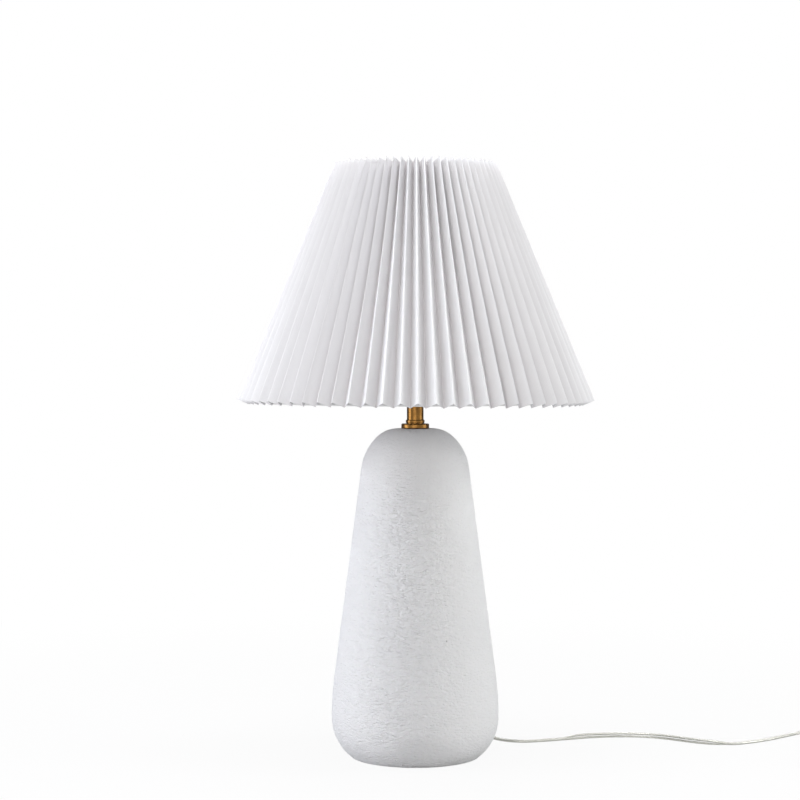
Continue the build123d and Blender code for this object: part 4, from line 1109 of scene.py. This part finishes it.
# Coil: the rest of the flex, from the switch to the plug, wound into a neat round coil of two layers beside
# the switch. It winds in along the table, climbs where it turns back, and winds out again on top.
coil_turns = 6
coil_outer_radius = 39.3 * MM
coil_pitch = 5.9 * MM
coil_lift = 0.9 * MM
coil_place = Vector((420.0, -45.0, 0)) * MM
coil_layer = (floor_level + coil_lift, floor_level + coil_lift + coil_pitch)
stations_per_turn = 12
tail_straight = 16.0 * MM
plug_level = 6.85 * MM
plug_end = Vector((467.5 * MM, -100.0 * MM, plug_level))
plug_heading = math.radians(-78.0)
plug_way = Vector((math.cos(plug_heading), math.sin(plug_heading), 0))


def coil_point(turn):
    """The middle of the flex after this many turns, clockwise from +X."""
    radius = coil_outer_radius - coil_pitch * min(turn, coil_turns - turn)
    climbed = eased(2 * turn, coil_turns - 0.5, coil_turns + 0.5)
    height = coil_layer[0] + (coil_layer[1] - coil_layer[0]) * climbed
    angle = -2 * math.pi * turn
    return coil_place + Vector((radius * math.cos(angle), radius * math.sin(angle), height))


def coil_way(turn):
    """The way along the flex after this many turns."""
    return (coil_point(turn + 0.01) - coil_point(turn - 0.01)).normalized()


coil_start = coil_point(0) - coil_way(0) * (2 * floor_level)
coil_end = coil_point(coil_turns) + coil_way(coil_turns) * (2 * floor_level)
coil_route = [
    switch_out,
    Vector((switch_place.x, 6 * MM, switch_split)),
    coil_start - coil_way(0) * cord_straight,
    *[coil_point(station / stations_per_turn) for station in range(coil_turns * stations_per_turn + 1)],
    coil_end + coil_way(coil_turns) * tail_straight,
    plug_end - plug_way * tail_straight,
    plug_end,
]
coil_points = route_points("coil_route", coil_route, 8)
along_coil = [0.0]
for a, b in zip(coil_points, coil_points[1:]):
    along_coil.append(along_coil[-1] + (b - a).length)
coil_length = along_coil[-1]
coil_stations = [(0.022, 180), (0.062, 90), (coil_length - 0.05, 90), (coil_length - 0.012, 0)]
coil_rolls = flex_rolls(coil_points, coil_stations, lambda at, point: along_coil[at])
flex_to_plug = make_flex("flex_to_plug", coil_points, coil_rolls, ["cord_lead", "cord_coil", "cord_tail"])


# Tie: a flat strip of white plastic with a wire down its middle, passed round the coil's turns and drawn up.
# Its two ends are twisted together and left as a short tail that is bent along the coil.
tie_width = 4.0 * MM
tie_gap = 0.4 * MM
tie_room = 0.7 * MM
tie_strip = 0.32 * MM
tie_wire = 0.62 * MM
tie_inner = coil_outer_radius - coil_pitch * (coil_turns / 2 - 0.5) - floor_level - tie_gap
tie_outer = coil_outer_radius - coil_pitch / 2 + floor_level + tie_gap
tie_bottom = coil_lift - 0.1 * MM
tie_top = coil_layer[1] + floor_level + tie_gap
tie_corner = 2.4 * MM
tail_twists = 2.5
tail_apart = (0.35 * MM, 1.2 * MM)
tail_opens = 0.75
tail_narrowing = 0.55

tie_left = coil_place.x - tie_outer - tie_room / 2
tie_right = coil_place.x - tie_inner + tie_room / 2
tie_low = tie_bottom - tie_room / 2 + tie_corner
tie_high = tie_top + tie_room / 2 - tie_corner
tie_shut = (tie_left, (tie_low + tie_high) / 2)
tie_loop = (
    [tie_shut]
    + arc_points((tie_left + tie_corner, tie_high), tie_corner, math.pi, math.pi / 2, 8)
    + arc_points((tie_right - tie_corner, tie_high), tie_corner, math.pi / 2, 0, 8)
    + arc_points((tie_right - tie_corner, tie_low), tie_corner, 0, -math.pi / 2, 8)
    + arc_points((tie_left + tie_corner, tie_low), tie_corner, -math.pi / 2, -math.pi, 8)
    + [tie_shut]
)
wire_shares = (-1.0, -0.94, -0.5, -0.2, -0.12, 0.0, 0.12, 0.2, 0.5, 0.94, 1.0)
wire_heights = (0.55, 1.0, 1.0, 1.0, 1.7, tie_wire / tie_strip, 1.7, 1.0, 1.0, 1.0, 0.55)
strip_half = [(tie_width / 2 * a, tie_strip / 2 * h) for a, h in zip(wire_shares, wire_heights)]
strip_section = strip_half + [(a, -b) for a, b in reversed(strip_half)]
tail_section = [(a * tail_narrowing, b) for a, b in strip_section]

tie_points = [Vector((x, coil_place.y, z)) for x, z in tie_loop]
tie_across = Vector((0, 1, 0))
tie_frames = [(way, tie_across, way.cross(tie_across)) for way in ways_along(tie_points)]
tie_mesh = bmesh.new()
sweep(tie_mesh, tie_points, tie_frames, lambda i: strip_section)

tail_root = Vector((tie_shut[0], coil_place.y, tie_shut[1]))
tail_bends = metres((0, 0, 0), (-2, -0.3, 0), (-3.6, -3, 0), (-3.6, -8, 0.4), (-1.5, -15, 1))
tail_points = route_points("tail_route", [tail_root + bend for bend in tail_bends], 16)
tail_steps = [step / (len(tail_points) - 1) for step in range(len(tail_points))]
tail_frames = frames_along(tail_points, [2 * math.pi * tail_twists * share for share in tail_steps])
for side in (-1, 1):
    strand_points = []
    for share, point, (way, across_way, square_way) in zip(tail_steps, tail_points, tail_frames):
        opened = max(0, share - tail_opens) / (1 - tail_opens)
        apart = tail_apart[0] + (tail_apart[1] - tail_apart[0]) * opened
        strand_points.append(point + square_way * side * apart)
    sweep(tie_mesh, strand_points, tail_frames, lambda i: tail_section)
tie_plastic = moulded(
    "white_tie_plastic", (0.72, 0.72, 0.72), (0.67, 0.67, 0.68), 0.36, scale=2400.0, depth=0.06 * MM
)
tie_piece = new_object("twist_tie", mesh_from("twist_tie", tie_mesh, 35))
finish_piece(tie_piece, "lamp", tie_plastic, ["coil_tie"])


# Switch: two white moulded half shells clamped round the flex by two screws. A rocker tips between them on
# two stub pins, over the brass contacts.
switch_plastic = moulded("white_switch_plastic", (0.72, 0.72, 0.71), (0.69, 0.69, 0.68), 0.3, scale=1500.0)
dress(switch_plastic, "switch_base", "switch_cover", "switch_rocker")
dress(zinc, "switch_screws")
dress(contact_brass, "switch_contacts")


# Plug: a flat two-pin plug moulded onto the flex in one piece of white PVC, with a ribbed strain relief and
# grooves for the fingers. Its nickel-plated pins are sleeved in black near the body.
relief_length = 22.0 * MM
relief_radius = 5.2 * MM
relief_end_radius = 3.6 * MM
relief_ribs = 5
relief_core = 3.0 * MM
plug_body_length = 33.0 * MM
plug_body_start = (5.7 * MM, 5.5 * MM)
plug_face = (35.3 / 2 * MM, 13.7 / 2 * MM)
plug_edge = 0.9 * MM
plug_columns = 96
grip_pitch = 3.4 * MM
grip_depth = 0.45 * MM
grip_span = (0.24, 0.78)
grip_fade = 0.06
grip_reach = 8.0 * MM
grip_edge = 2.0 * MM
plug_across = Vector((-plug_way.y, plug_way.x, 0))


def rounded_off(distance):
    """How much the plug draws in this far from its flat end."""
    return plug_edge - math.sqrt(max(0, plug_edge**2 - max(0, plug_edge - distance) ** 2))


def plug_outline(i):
    """The plug's outline at a station: ribs and grooves on the relief, and a flattened oval at the pins."""
    at = plug_stations[i]
    swell = max(0, (at - relief_length) / plug_body_length)
    full = 1 - (1 - swell) ** 1.9
    wide, thick = [start + (face - start) * full for start, face in zip(plug_body_start, plug_face)]
    square = 2 + 1.2 * swell
    if at <= relief_length:
        rib_length = relief_length / (2 * relief_ribs + 1)
        rib = eased(math.sin(math.pi * at / rib_length), -0.5, 0.3)
        if at < rib_length / 2 or at > relief_length - rib_length / 2:
            rib = 1
        taper = relief_end_radius + (relief_radius - relief_end_radius) * at / relief_length
        wide = thick = relief_core + (taper - relief_core) * rib
    drawn_in = rounded_off(at / 2) + rounded_off(relief_length + plug_body_length - at)
    grip = 0.5 - 0.5 * math.cos(2 * math.pi * at / grip_pitch)
    begun = eased(swell, grip_span[0], grip_span[0] + grip_fade)
    ended = eased(swell, grip_span[1] - grip_fade, grip_span[1])
    grip *= begun * (1 - ended)
    outline = []
    for column in range(plug_columns):
        angle = 2 * math.pi * column / plug_columns
        c, s = math.cos(angle), math.sin(angle)
        a = (wide - drawn_in) * math.copysign(abs(c) ** (2 / square), c)
        b = (thick - drawn_in) * math.copysign(abs(s) ** (2 / square), s)
        pressed = grip_depth * grip * (1 - eased(abs(a), grip_reach - grip_edge, grip_reach))
        outline.append((a, b - math.copysign(pressed, b) * min(1, abs(b) / thick * 2)))
    return outline


relief_stations = [relief_length * step / 110 for step in range(110)]
body_stations = [relief_length + plug_body_length * step / 82 for step in range(81)]
edge_stations = [relief_length + plug_body_length - plug_edge * (1 - step / 5) ** 2 for step in range(1, 6)]
plug_stations = sorted(relief_stations + body_stations + edge_stations)
plug_points = [plug_end + plug_way * at for at in plug_stations]
plug_frames = [(plug_way, plug_across, Vector((0, 0, 1)))] * len(plug_stations)
plug_mesh = bmesh.new()
sweep(plug_mesh, plug_points, plug_frames, plug_outline)
plug_plastic = moulded(
    "white_plug_pvc", (0.70, 0.70, 0.69), (0.665, 0.665, 0.655), 0.4, scale=1200.0, depth=0.07 * MM
)
plug_piece = new_object("moulded_plug", mesh_from("moulded_plug", plug_mesh, 40))
finish_piece(plug_piece, "lamp", plug_plastic, ["plug_body"])
nickel = turned_metal("nickel_plate", (0.72, 0.70, 0.64), (0.58, 0.56, 0.5), 0.16)
sleeve_plastic = moulded("black_sleeve_plastic", (0.02, 0.02, 0.02), (0.03, 0.03, 0.03), 0.42)
dress(nickel, "plug_pins")
dress(sleeve_plastic, "pin_sleeves")
